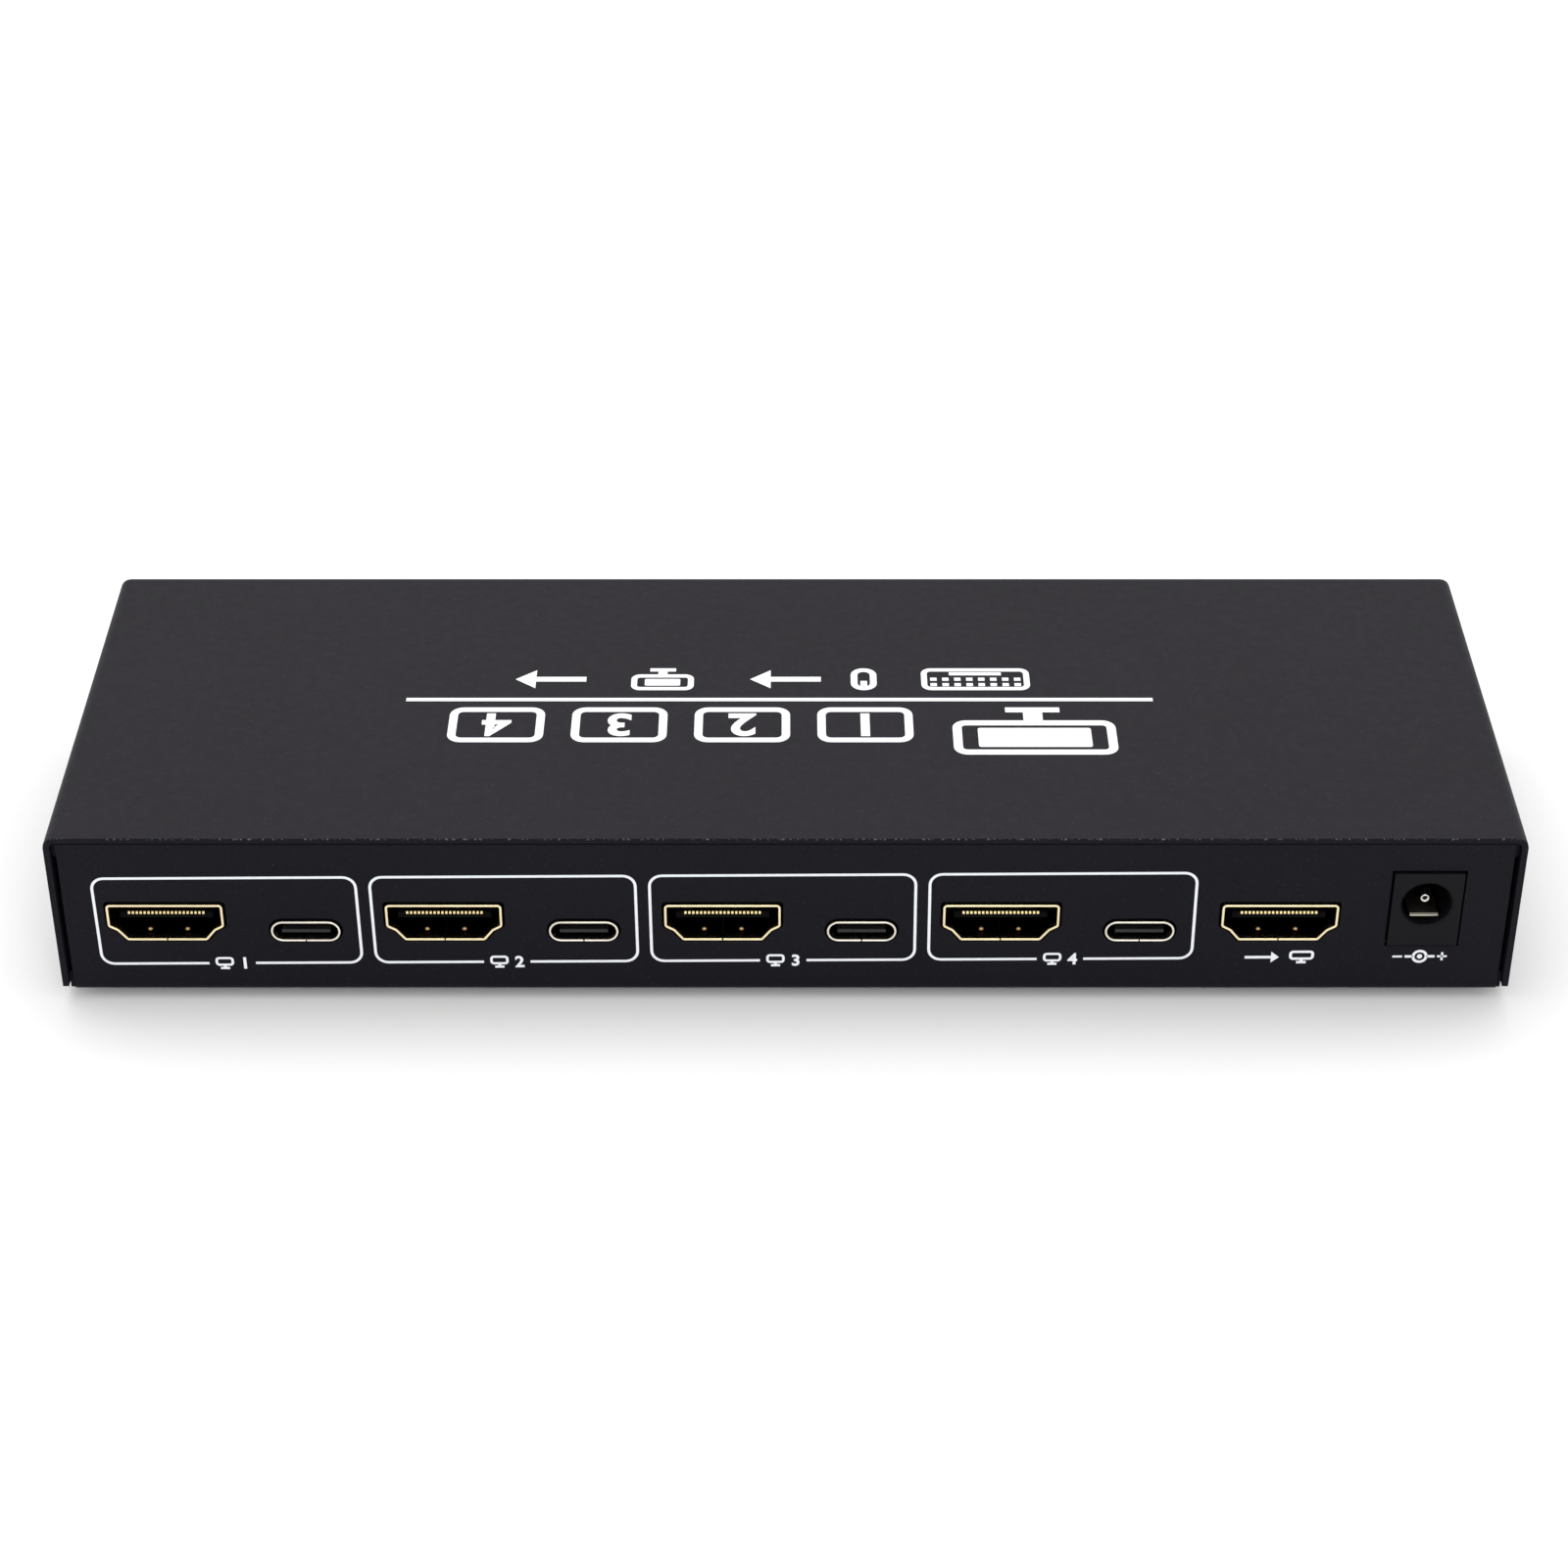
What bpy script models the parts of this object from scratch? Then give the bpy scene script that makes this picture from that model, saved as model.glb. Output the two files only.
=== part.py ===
"""Four-channel KVM switch in a folded steel case, one object for each sub-part.

Metres, +Z up. The origin is on the table under the middle of the case. X runs along the
case, -Y is the side with the computer, display and power sockets, and +Y is the side with
the buttons and the sockets for the keyboard and mouse.
"""

import math
from collections import namedtuple

import bmesh
import bpy
from mathutils import Vector

# Case
WIDTH = 0.187
DEPTH = 0.0655
HEIGHT = 0.0239             # without the feet
SHEET = 0.0008              # steel sheet of the cover and the tray
COVER_BEND = 0.0015         # outer radius of the cover's two long bends
TRAY_BEND = 0.001           # outer radius of the tray's bends
COVER_OVERHANG = 0.0003     # how far the cover's edge stands past each panel
COVER_LIFT = 0.0009         # of the cover's lower edges above the tray's underside
PANEL_SIDE_GAP = 0.0007     # from a panel's side edge to the cover's wall
GAP = 0.0003                # between two pieces that touch or are glued
FLANGE_RELIEF = 0.0012      # from a panel's outer face to the end of a side flange
FLANGE_HEIGHT = 0.0145

# Feet
FOOT_HEIGHT = 0.0014
FOOT_RADIUS = 0.005
FOOT_TIP_RADIUS = 0.0045
FOOT_INSET_X = 0.0115
FOOT_INSET_Y = 0.0095

# Screws
COVER_SCREW_HEAD = 0.0025   # radius of the countersunk head
COVER_SCREW_SHANK = 0.0015
COVER_SCREW_LENGTH = 0.005
COVER_SCREW_RISE = 0.0111   # above the underside of the tray
COVER_SCREW_INSET = 0.0127  # from the cover's edge
COUNTERSINK_PAST = 0.001    # how far the countersink's cone runs on past the sheet
BOARD_SCREW_HEAD = 0.0025
BOARD_SCREW_HEAD_HEIGHT = 0.0017
BOARD_SCREW_SHANK = 0.00125
BOARD_SCREW_REACH = 0.0025  # of the shank below the board

# Circuit board
STANDOFF_HEIGHT = 0.0041
STANDOFF_FLATS = 0.005      # across the flats of the hexagon
BOARD_THICKNESS = 0.0016
BOARD_SIDE_GAP = 0.001      # to the tray's side flanges
BOARD_PANEL_GAP = 0.0005    # to the panels
BOARD_HOLE_INSET = 0.0046   # from the board's short edges
BOARD_SCREW_MARGIN = 0.0015 # between a screw head and the deepest socket

# Sockets on the -Y side
CHANNELS = 4
FIRST_VIDEO_INSET = 0.0143  # from the case's -X side to the middle of the first video socket
LAST_VIDEO_INSET = 0.0304   # from its +X side to the middle of the last one
PORT_GAP = 0.0003           # between a socket and the edge of its cut-out

VIDEO_WIDTH = 0.0149
VIDEO_HEIGHT = 0.00555
VIDEO_SHOULDER = 0.0034     # depth of the straight sides
VIDEO_WAIST_X = 0.0063
VIDEO_WAIST_Z = 0.00405
VIDEO_FLOOR_X = 0.0051
VIDEO_CORNER = 0.0005
VIDEO_WALL = 0.00038
VIDEO_DEPTH = 0.0115
VIDEO_LIFT = 0.00105        # of the shell above the board
VIDEO_BLOCK = 0.0033        # length of the block at the back of the insert
VIDEO_TONGUE_WIDTH = 0.0119
VIDEO_TONGUE_THICKNESS = 0.001
VIDEO_TONGUE_DROP = 0.0021  # from the shell's outer top to the tongue's top
VIDEO_TONGUE_RECESS = 0.0012
VIDEO_FOOT_THICKNESS = 0.0005
VIDEO_FOOT_LENGTH = 0.0016
VIDEO_FOOT_PLACES = (0.003, 0.0085)

TYPE_C_WIDTH = 0.00894
TYPE_C_HEIGHT = 0.0031
TYPE_C_WALL = 0.0003
TYPE_C_DEPTH = 0.0075
TYPE_C_LIFT = 0.0009
TYPE_C_BLOCK = 0.0014
TYPE_C_TONGUE_WIDTH = 0.0067
TYPE_C_TONGUE_THICKNESS = 0.0007
TYPE_C_TONGUE_RECESS = 0.0008

JACK_INSET = 0.0119         # from the case's +X side to the jack's middle
JACK_WIDTH = 0.0089
JACK_HEIGHT = 0.0111
JACK_DEPTH = 0.0142
JACK_FACE_DEPTH = 0.0035    # of the full-height part at the front
JACK_BODY_HEIGHT = 0.0102
JACK_BODY_WIDTH = 0.0083
JACK_BORE = 0.0032
JACK_BORE_DROP = 0.0048     # from the jack's top to the axis of its bore
JACK_BORE_DEPTH = 0.0105
JACK_PIN = 0.001
JACK_PIN_RECESS = 0.0015
JACK_PIN_TAIL = 0.0006
SPRING_WIDTH = 0.004
SPRING_THICKNESS = 0.0003
SPRING_START = 0.0022
SPRING_END = 0.0098
SPRING_SLOT = 0.0005        # depth of the spring's slot below the bore
SPRING_BOW = 0.0006
SPRING_STEPS = 6

# Buttons, their lamps and the type A sockets on the +Y side
FIRST_BUTTON_INSET = 0.0215 # from the case's +X side
BUTTON_PITCH = 0.0165
BUTTON_RADIUS = 0.003
BUTTON_GAP = 0.0003         # around the cap in its hole
BUTTON_PROUD = 0.0017       # past the panel
BUTTON_TRAVEL = 0.001
COLLAR_RADIUS = 0.0038
COLLAR_THICKNESS = 0.0008
STEM_RADIUS = 0.0015
STEM_GRIP = 0.002           # of the stem inside the switch at rest
SWITCH_SIZE = 0.007
SWITCH_DEPTH = 0.0068
LAMP_MARGIN = 0.0006        # from a button's collar to the light bar
LAMP_RADIUS = 0.001
LIGHT_BAR_HEIGHT = 0.0018
LIGHT_BAR_DEPTH = 0.0016
LIGHT_LEG_WIDTH = 0.002
LIGHT_LEG_OFFSET = 0.006    # from the outer lamps to the bar's legs

TYPE_A_COUNT = 3
LAST_TYPE_A_INSET = 0.0205  # from the case's -X side
TYPE_A_PITCH = 0.0235
TYPE_A_WIDTH = 0.0132
TYPE_A_HEIGHT = 0.0057
TYPE_A_CORNER = 0.0005
TYPE_A_WALL = 0.00035
TYPE_A_DEPTH = 0.014
TYPE_A_BLOCK = 0.0028
TYPE_A_TONGUE_WIDTH = 0.0106
TYPE_A_TONGUE_THICKNESS = 0.0018
TYPE_A_TONGUE_DROP = 0.0008
TYPE_A_TONGUE_RECESS = 0.0015

# Parts on the board
SWITCH_CHIP_PLACE = (-0.008, 0.003)
SWITCH_CHIP_SIZE = 0.014
SWITCH_CHIP_HEIGHT = 0.0014
HEAT_SINK_SIZE = 0.014
HEAT_SINK_BASE = 0.0012
HEAT_SINK_HEIGHT = 0.006
HEAT_SINK_FINS = 6
HEAT_SINK_FIN = 0.0009
HUB_CHIP_PLACE = (-0.045, 0.004)
HUB_CHIP_SIZE = 0.007
HUB_CHIP_HEIGHT = 0.001
CHIP_EDGE = 0.0002
CRYSTAL_PLACE = (-0.045, -0.007)
CRYSTAL_SIZE = (0.011, 0.0047)
CRYSTAL_HEIGHT = 0.0035
CAPACITOR_PLACE = (0.064, -0.008)
CAPACITOR_RADIUS = 0.00315
CAPACITOR_HEIGHT = 0.0072

# Heights and distances that follow from the sizes above
FLOOR_BOTTOM = FOOT_HEIGHT
FLOOR_TOP = FLOOR_BOTTOM + SHEET
COVER_TOP = FLOOR_BOTTOM + HEIGHT
WALL_INSIDE = WIDTH / 2 - SHEET
PANEL_HALF = WALL_INSIDE - PANEL_SIDE_GAP
PANEL_FACE = DEPTH / 2 - COVER_OVERHANG
PANEL_BACK = PANEL_FACE - SHEET
PANEL_TOP = COVER_TOP - SHEET - GAP
FLANGE_X = WALL_INSIDE - GAP
FLANGE_Y = PANEL_FACE - FLANGE_RELIEF
BOARD_BOTTOM = FLOOR_TOP + GAP + STANDOFF_HEIGHT + GAP
BOARD_TOP = BOARD_BOTTOM + BOARD_THICKNESS
BOARD_HALF_X = FLANGE_X - SHEET - BOARD_SIDE_GAP
BOARD_HALF_Y = PANEL_BACK - BOARD_PANEL_GAP
SEAT = BOARD_TOP + GAP
SOCKET_FACE = PANEL_FACE + COVER_OVERHANG
DEEPEST_SOCKET = max(VIDEO_DEPTH, TYPE_A_DEPTH, JACK_DEPTH + JACK_PIN_TAIL)
BOARD_HOLE_X = BOARD_HALF_X - BOARD_HOLE_INSET
BOARD_HOLE_Y = SOCKET_FACE - DEEPEST_SOCKET - BOARD_SCREW_HEAD - BOARD_SCREW_MARGIN
COVER_SCREW_Z = FLOOR_BOTTOM + COVER_SCREW_RISE
FIRST_VIDEO_X = FIRST_VIDEO_INSET - WIDTH / 2
CHANNEL_PITCH = (WIDTH - FIRST_VIDEO_INSET - LAST_VIDEO_INSET) / CHANNELS
JACK_X = WIDTH / 2 - JACK_INSET
FIRST_BUTTON_X = WIDTH / 2 - FIRST_BUTTON_INSET
LAST_TYPE_A_X = LAST_TYPE_A_INSET - WIDTH / 2
VIDEO_Z = BOARD_TOP + VIDEO_LIFT + VIDEO_HEIGHT / 2
TYPE_C_Z = BOARD_TOP + TYPE_C_LIFT + TYPE_C_HEIGHT / 2
TYPE_A_Z = SEAT + TYPE_A_HEIGHT / 2
BUTTON_Z = SEAT + SWITCH_SIZE / 2
LAMP_Z = BUTTON_Z + COLLAR_RADIUS + LAMP_MARGIN + LIGHT_BAR_HEIGHT / 2
COLLAR_BACK = SHEET + GAP + COLLAR_THICKNESS
SWITCH_FRONT = COLLAR_BACK + BUTTON_TRAVEL + GAP
CUT_EXTRA = 0.002           # how far a cutter runs past what it cuts
ROUND_MARGIN = 1e-5         # keeps a round end's two arcs from meeting in one point
SHARP_ANGLE = math.radians(35)

STEEL_BLACK = ((0.022, 0.021, 0.022), 0.0, 0.55)
SCREW_BLACK = ((0.03, 0.03, 0.032), 0.9, 0.4)
SOFT_BLACK = ((0.02, 0.02, 0.02), 0.0, 0.9)
BOARD_GREEN = ((0.01, 0.09, 0.04), 0.0, 0.45)
BRASS_YELLOW = ((0.7, 0.5, 0.2), 1.0, 0.35)
SCREW_STEEL = ((0.6, 0.6, 0.62), 1.0, 0.35)
SHELL_GOLD = ((0.85, 0.66, 0.36), 1.0, 0.25)
SHELL_NICKEL = ((0.72, 0.68, 0.62), 1.0, 0.25)
SHELL_TIN = ((0.74, 0.74, 0.74), 1.0, 0.3)
INSERT_BLACK = ((0.012, 0.012, 0.013), 0.0, 0.5)
JACK_BLACK = ((0.02, 0.02, 0.022), 0.0, 0.45)
BUTTON_BLACK = ((0.015, 0.015, 0.016), 0.0, 0.35)
CHIP_BLACK = ((0.018, 0.018, 0.02), 0.0, 0.6)
LAMP_CLEAR = ((0.8, 0.85, 0.8), 0.0, 0.15)
ALUMINIUM = ((0.75, 0.76, 0.77), 1.0, 0.35)


def clear_scene():
    for old in list(bpy.data.objects):
        bpy.data.objects.remove(old, do_unlink=True)


def new_collection(name):
    collection = bpy.data.collections.new(name)
    bpy.context.scene.collection.children.link(collection)
    return collection


def material(name, finish):
    color, metallic, roughness = finish
    made = bpy.data.materials.new(name)
    made.use_nodes = True
    shader = made.node_tree.nodes["Principled BSDF"]
    shader.inputs["Base Color"].default_value = (*color, 1.0)
    shader.inputs["Metallic"].default_value = metallic
    shader.inputs["Roughness"].default_value = roughness
    return made


def add_part(name, mesh, finish, location=(0, 0, 0), rotation=(0, 0, 0)):
    """A sub-part, which becomes a node of the object."""
    obj = bpy.data.objects.new(name, mesh)
    obj.location = location
    obj.rotation_euler = rotation
    obj.data.materials.clear()
    obj.data.materials.append(material(name, finish))
    PARTS.objects.link(obj)
    return obj


def add_tool(name, mesh, location=(0, 0, 0), rotation=(0, 0, 0)):
    """A shape that is cut from a sub-part or joined to one."""
    obj = bpy.data.objects.new(name, mesh)
    obj.location = location
    obj.rotation_euler = rotation
    obj.hide_render = True
    obj.display_type = "WIRE"
    CUTTERS.objects.link(obj)
    return obj


def boolean(obj, tool, operation):
    modifier = obj.modifiers.new(tool.name, "BOOLEAN")
    modifier.operation = operation
    modifier.solver = "EXACT"
    modifier.object = tool


def solidify(obj, thickness, offset=-1.0):
    modifier = obj.modifiers.new("sheet", "SOLIDIFY")
    modifier.thickness = thickness
    modifier.offset = offset
    modifier.use_even_offset = True


def mesh_from(name, bm):
    mesh = bpy.data.meshes.new(name)
    bm.to_mesh(mesh)
    bm.free()
    return mesh


def box_mesh(name, low, high):
    """A box between two opposite corners."""
    bm = bmesh.new()
    bmesh.ops.create_cube(bm, size=1.0)
    size = [b - a for a, b in zip(low, high)]
    middle = [(a + b) / 2 for a, b in zip(low, high)]
    bmesh.ops.scale(bm, vec=size, verts=bm.verts)
    bmesh.ops.translate(bm, vec=middle, verts=bm.verts)
    return mesh_from(name, bm)


def cone_mesh(name, radius_low, radius_high, length, segments=20):
    """A cone or cylinder about Z, from the origin up."""
    bm = bmesh.new()
    bmesh.ops.create_cone(
        bm, cap_ends=True, segments=segments, radius1=radius_low, radius2=radius_high, depth=length
    )
    bmesh.ops.translate(bm, vec=(0, 0, length / 2), verts=bm.verts)
    return mesh_from(name, bm)


def turned_mesh(name, profile, steps=16):
    """A solid of revolution about Z. The profile runs from the top of the axis to its foot."""
    bm = bmesh.new()
    points = [bm.verts.new((radius, 0, height)) for radius, height in profile]
    for upper, lower in zip(points, points[1:]):
        bm.edges.new((upper, lower))
    guide = add_tool(name + "_profile", mesh_from(name, bm))
    screw = guide.modifiers.new("turn", "SCREW")
    screw.steps = steps
    screw.render_steps = steps
    screw.use_merge_vertices = True
    screw.merge_threshold = 1e-6
    return realised_mesh(name, guide)


def realised_mesh(name, guide):
    """The evaluated mesh of a guide, with its loose seams welded. The guide is removed."""
    bpy.context.view_layer.update()
    evaluated = guide.evaluated_get(bpy.context.evaluated_depsgraph_get())
    mesh = bpy.data.meshes.new_from_object(evaluated)
    mesh.name = name
    bm = bmesh.new()
    bm.from_mesh(mesh)
    bmesh.ops.remove_doubles(bm, verts=bm.verts, dist=1e-6)
    bm.to_mesh(mesh)
    bm.free()
    bpy.data.objects.remove(guide, do_unlink=True)
    mesh.shade_smooth()
    mesh.set_sharp_from_angle(angle=SHARP_ANGLE)
    return mesh


def outline_mesh(name, outline, thickness):
    """A flat outline in the XY plane, extruded evenly about it."""
    curve = bpy.data.curves.new(name, "CURVE")
    curve.dimensions = "2D"
    curve.fill_mode = "BOTH"
    curve.extrude = thickness / 2
    spline = curve.splines.new("POLY")
    spline.points.add(len(outline) - 1)
    for point, (x, y) in zip(spline.points, outline):
        point.co = (x, y, 0, 1)
    spline.use_cyclic_u = True
    return realised_mesh(name, add_tool(name + "_outline", curve))


def grown(corners, distance):
    """Corners of the same outline, listed clockwise, with every side moved outward."""
    moved = []
    for i, corner in enumerate(corners):
        before = (Vector(corner) - Vector(corners[i - 1])).normalized()
        after = (Vector(corners[(i + 1) % len(corners)]) - Vector(corner)).normalized()
        out_before = Vector((-before.y, before.x))
        out_after = Vector((-after.y, after.x))
        mitre = (out_before + out_after) / (1 + out_before.dot(out_after))
        moved.append(Vector(corner) + mitre * distance)
    return moved


def rounded(corners, radius, steps=3):
    """The outline with an arc at each corner, a hollow corner's as well."""
    points = []
    for i, corner in enumerate(corners):
        here = Vector(corner)
        to_before = (Vector(corners[i - 1]) - here).normalized()
        to_after = (Vector(corners[(i + 1) % len(corners)]) - here).normalized()
        half = to_before.angle(to_after) / 2
        centre = here + (to_before + to_after).normalized() * radius / math.sin(half)
        start = here + to_before * radius / math.tan(half) - centre
        turn = start.angle_signed(here + to_after * radius / math.tan(half) - centre)
        for step in range(steps + 1):
            angle = -turn * step / steps
            x = start.x * math.cos(angle) - start.y * math.sin(angle)
            y = start.x * math.sin(angle) + start.y * math.cos(angle)
            points.append((centre.x + x, centre.y + y))
    return points


def rectangle(width, height):
    """Corners of a centred rectangle, clockwise from the upper left."""
    x = width / 2
    y = height / 2
    return [(-x, y), (x, y), (x, -y), (-x, -y)]


def video_outline(growth=0.0):
    """The video socket's outline about its centre: a rectangle with two stepped lower corners."""
    top = VIDEO_HEIGHT / 2
    right = [
        (VIDEO_WIDTH / 2, top),
        (VIDEO_WIDTH / 2, top - VIDEO_SHOULDER),
        (VIDEO_WAIST_X, top - VIDEO_WAIST_Z),
        (VIDEO_FLOOR_X, -top),
    ]
    left = [(-x, z) for x, z in reversed(right)]
    return rounded(grown(left + right, growth), VIDEO_CORNER, steps=2)


def type_c_outline(growth=0.0):
    """The type C socket's outline about its centre: straight above and below, with round ends."""
    corners = grown(rectangle(TYPE_C_WIDTH, TYPE_C_HEIGHT), growth)
    return rounded(corners, TYPE_C_HEIGHT / 2 + growth - ROUND_MARGIN, steps=5)


def type_a_outline(growth=0.0):
    return rounded(grown(rectangle(TYPE_A_WIDTH, TYPE_A_HEIGHT), growth), TYPE_A_CORNER, steps=2)


def folded_sheet(name, outline, z, walls, radius, finish):
    """Sheet metal with a flat outline at z. walls holds (side of the outline, height of its wall)."""
    bm = bmesh.new()
    corners = [bm.verts.new((x, y, z)) for x, y in outline]
    bm.faces.new(corners)
    folds = []
    for side, height in walls:
        fold = bm.edges.get((corners[side], corners[(side + 1) % len(corners)]))
        made = bmesh.ops.extrude_edge_only(bm, edges=[fold])["geom"]
        rim = [item for item in made if isinstance(item, bmesh.types.BMVert)]
        bmesh.ops.translate(bm, vec=(0, 0, height), verts=rim)
        folds.append(fold)
    bmesh.ops.recalc_face_normals(bm, faces=bm.faces)
    bmesh.ops.bevel(bm, geom=folds, offset=radius, segments=4, profile=0.5, affect="EDGES")
    obj = add_part(name, mesh_from(name, bm), finish)
    solidify(obj, SHEET)
    return obj


def socket_shell(name, kind, place, rotation):
    """A drawn metal shell about the Y axis: open at its own origin, closed at its depth."""
    bm = bmesh.new()
    back = bm.faces.new([bm.verts.new((x, kind.depth, z)) for x, z in kind.outline()])
    made = bmesh.ops.extrude_edge_only(bm, edges=list(back.edges))["geom"]
    rim = [item for item in made if isinstance(item, bmesh.types.BMVert)]
    bmesh.ops.translate(bm, vec=(0, -kind.depth, 0), verts=rim)
    bmesh.ops.recalc_face_normals(bm, faces=bm.faces)
    shell = add_part(name, mesh_from(name, bm), kind.finish, place, rotation)
    solidify(shell, kind.wall)
    return shell


def socket_insert(name, kind, place, rotation):
    """The plastic inside a socket: a block at the back that carries a tongue."""
    end = kind.depth - kind.wall - GAP
    start = end - kind.block
    mesh = outline_mesh(name, kind.outline(-kind.wall - GAP), kind.block)
    turn_and_move(mesh, (start + end) / 2)
    insert = add_part(name, mesh, INSERT_BLACK, place, rotation)
    half = kind.tongue_width / 2
    low = (-half, kind.tongue_recess, kind.tongue_top - kind.tongue_thickness)
    high = (half, (start + end) / 2, kind.tongue_top)
    tongue = add_tool(name + "_tongue", box_mesh(name, low, high), place, rotation)
    boolean(insert, tongue, "UNION")


def turn_and_move(mesh, y):
    """Stands a mesh made in the XY plane up in the XZ plane, at y."""
    for vertex in mesh.vertices:
        vertex.co = (vertex.co.x, y - vertex.co.z, vertex.co.y)


def cutout(name, outline, place):
    """A cutter of this outline through the panel by this place."""
    mesh = outline_mesh(name, outline, 2 * (SHEET + CUT_EXTRA))
    turn_and_move(mesh, 0)
    return add_tool(name, mesh, place)


def video_x(index):
    return FIRST_VIDEO_X + index * CHANNEL_PITCH


def type_c_x(index):
    """Half way between two video sockets."""
    return video_x(index) + CHANNEL_PITCH / 2


def type_a_x(index):
    return LAST_TYPE_A_X + (TYPE_A_COUNT - 1 - index) * TYPE_A_PITCH


def button_x(index):
    return FIRST_BUTTON_X - index * BUTTON_PITCH


def corners_at(x, y):
    """The four corners of a centred rectangle, numbered round it."""
    return [(-x, -y), (x, -y), (x, y), (-x, y)]


def cover_screw_places():
    return corners_at(WIDTH / 2, DEPTH / 2 - COVER_SCREW_INSET)


def make_cover():
    sides = [(1, COVER_LIFT - HEIGHT), (3, COVER_LIFT - HEIGHT)]
    cover = folded_sheet(
        "top_cover", corners_at(WIDTH / 2, DEPTH / 2), COVER_TOP, sides, COVER_BEND, STEEL_BLACK
    )
    mouth = COVER_SCREW_HEAD + GAP + CUT_EXTRA
    depth = CUT_EXTRA + SHEET + COUNTERSINK_PAST
    for number, (x, y) in enumerate(cover_screw_places(), 1):
        side = math.copysign(1, x)
        place = (x + side * CUT_EXTRA, y, COVER_SCREW_Z)
        mesh = cone_mesh(f"countersink_{number}", mouth, mouth - depth, depth)
        cutter = add_tool(mesh.name, mesh, place, (0, -side * math.pi / 2, 0))
        boolean(cover, cutter, "DIFFERENCE")


def tray_outline():
    """The tray's floor: the full width between the side flanges, a little less at the panels."""
    quarter = [(PANEL_HALF, PANEL_FACE), (PANEL_HALF, FLANGE_Y), (FLANGE_X, FLANGE_Y)]
    front_right = list(quarter)
    back_right = [(x, -y) for x, y in reversed(quarter)]
    back_left = [(-x, -y) for x, y in quarter]
    front_left = [(-x, y) for x, y in reversed(quarter)]
    return front_right + back_right + back_left + front_left


def make_tray():
    panel = PANEL_TOP - FLOOR_BOTTOM
    # Sides 2, 5, 8 and 11 of the outline are the +X flange, the -Y panel, the -X flange and
    # the +Y panel.
    walls = [(2, FLANGE_HEIGHT), (5, panel), (8, FLANGE_HEIGHT), (11, panel)]
    tray = folded_sheet("base_tray", tray_outline(), FLOOR_BOTTOM, walls, TRAY_BEND, STEEL_BLACK)
    for cutter in port_side_cutouts() + button_side_cutouts() + flange_holes():
        boolean(tray, cutter, "DIFFERENCE")


def port_side_cutouts():
    jack = grown(rectangle(JACK_WIDTH, JACK_HEIGHT), PORT_GAP)
    cutters = [cutout("jack_cutout", jack, (JACK_X, -SOCKET_FACE, SEAT + JACK_HEIGHT / 2))]
    for kind, places in ((VIDEO_SOCKET, video_places()), (TYPE_C_SOCKET, type_c_places())):
        for number, place in enumerate(places, 1):
            cutters.append(cutout(f"{kind.label}_cutout_{number}", kind.outline(PORT_GAP), place))
    return cutters


def button_side_cutouts():
    cutters = []
    for number, place in enumerate(type_a_places(), 1):
        cutters.append(cutout(f"type_a_port_cutout_{number}", type_a_outline(PORT_GAP), place))
    for index in range(CHANNELS):
        x = button_x(index)
        button = (x, PANEL_FACE, BUTTON_Z)
        lamp = (x, PANEL_FACE, LAMP_Z)
        cutters.append(round_cutter(f"button_hole_{index + 1}", BUTTON_RADIUS + BUTTON_GAP, button))
        cutters.append(round_cutter(f"lamp_hole_{index + 1}", LAMP_RADIUS + GAP, lamp))
    return cutters


def round_cutter(name, radius, place):
    """A cylinder along Y through the +Y panel."""
    mesh = cone_mesh(name, radius, radius, SHEET + 2 * CUT_EXTRA)
    x, y, z = place
    return add_tool(name, mesh, (x, y + CUT_EXTRA, z), (math.pi / 2, 0, 0))


def flange_holes():
    cutters = []
    for number, (x, y) in enumerate(cover_screw_places(), 1):
        side = math.copysign(1, x)
        radius = COVER_SCREW_SHANK + GAP
        mesh = cone_mesh(f"flange_hole_{number}", radius, radius, COVER_SCREW_LENGTH, segments=16)
        place = (side * FLANGE_X + side * CUT_EXTRA, y, COVER_SCREW_Z)
        cutters.append(add_tool(mesh.name, mesh, place, (0, -side * math.pi / 2, 0)))
    return cutters


def make_cover_screws():
    """Countersunk screws, flush with the cover's walls."""
    profile = [
        (0, 0),
        (COVER_SCREW_HEAD, 0),
        (COVER_SCREW_HEAD - SHEET, -SHEET),
        (COVER_SCREW_SHANK, -SHEET),
        (COVER_SCREW_SHANK, -COVER_SCREW_LENGTH + COVER_SCREW_SHANK / 2),
        (COVER_SCREW_SHANK / 2, -COVER_SCREW_LENGTH),
        (0, -COVER_SCREW_LENGTH),
    ]
    for number, (x, y) in enumerate(cover_screw_places(), 1):
        name = f"cover_screw_{number}"
        turn = math.copysign(math.pi / 2, x)
        add_part(name, turned_mesh(name, profile), SCREW_BLACK, (x, y, COVER_SCREW_Z), (0, turn, 0))


def make_feet():
    """Rubber feet glued under the tray."""
    top = FOOT_HEIGHT - GAP
    soft = FOOT_RADIUS - FOOT_TIP_RADIUS
    profile = [(0, top), (FOOT_RADIUS, top), (FOOT_RADIUS, soft), (FOOT_TIP_RADIUS, 0), (0, 0)]
    places = corners_at(WIDTH / 2 - FOOT_INSET_X, DEPTH / 2 - FOOT_INSET_Y)
    for number, (x, y) in enumerate(places, 1):
        name = f"rubber_foot_{number}"
        add_part(name, turned_mesh(name, profile, steps=20), SOFT_BLACK, (x, y, 0))


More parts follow.
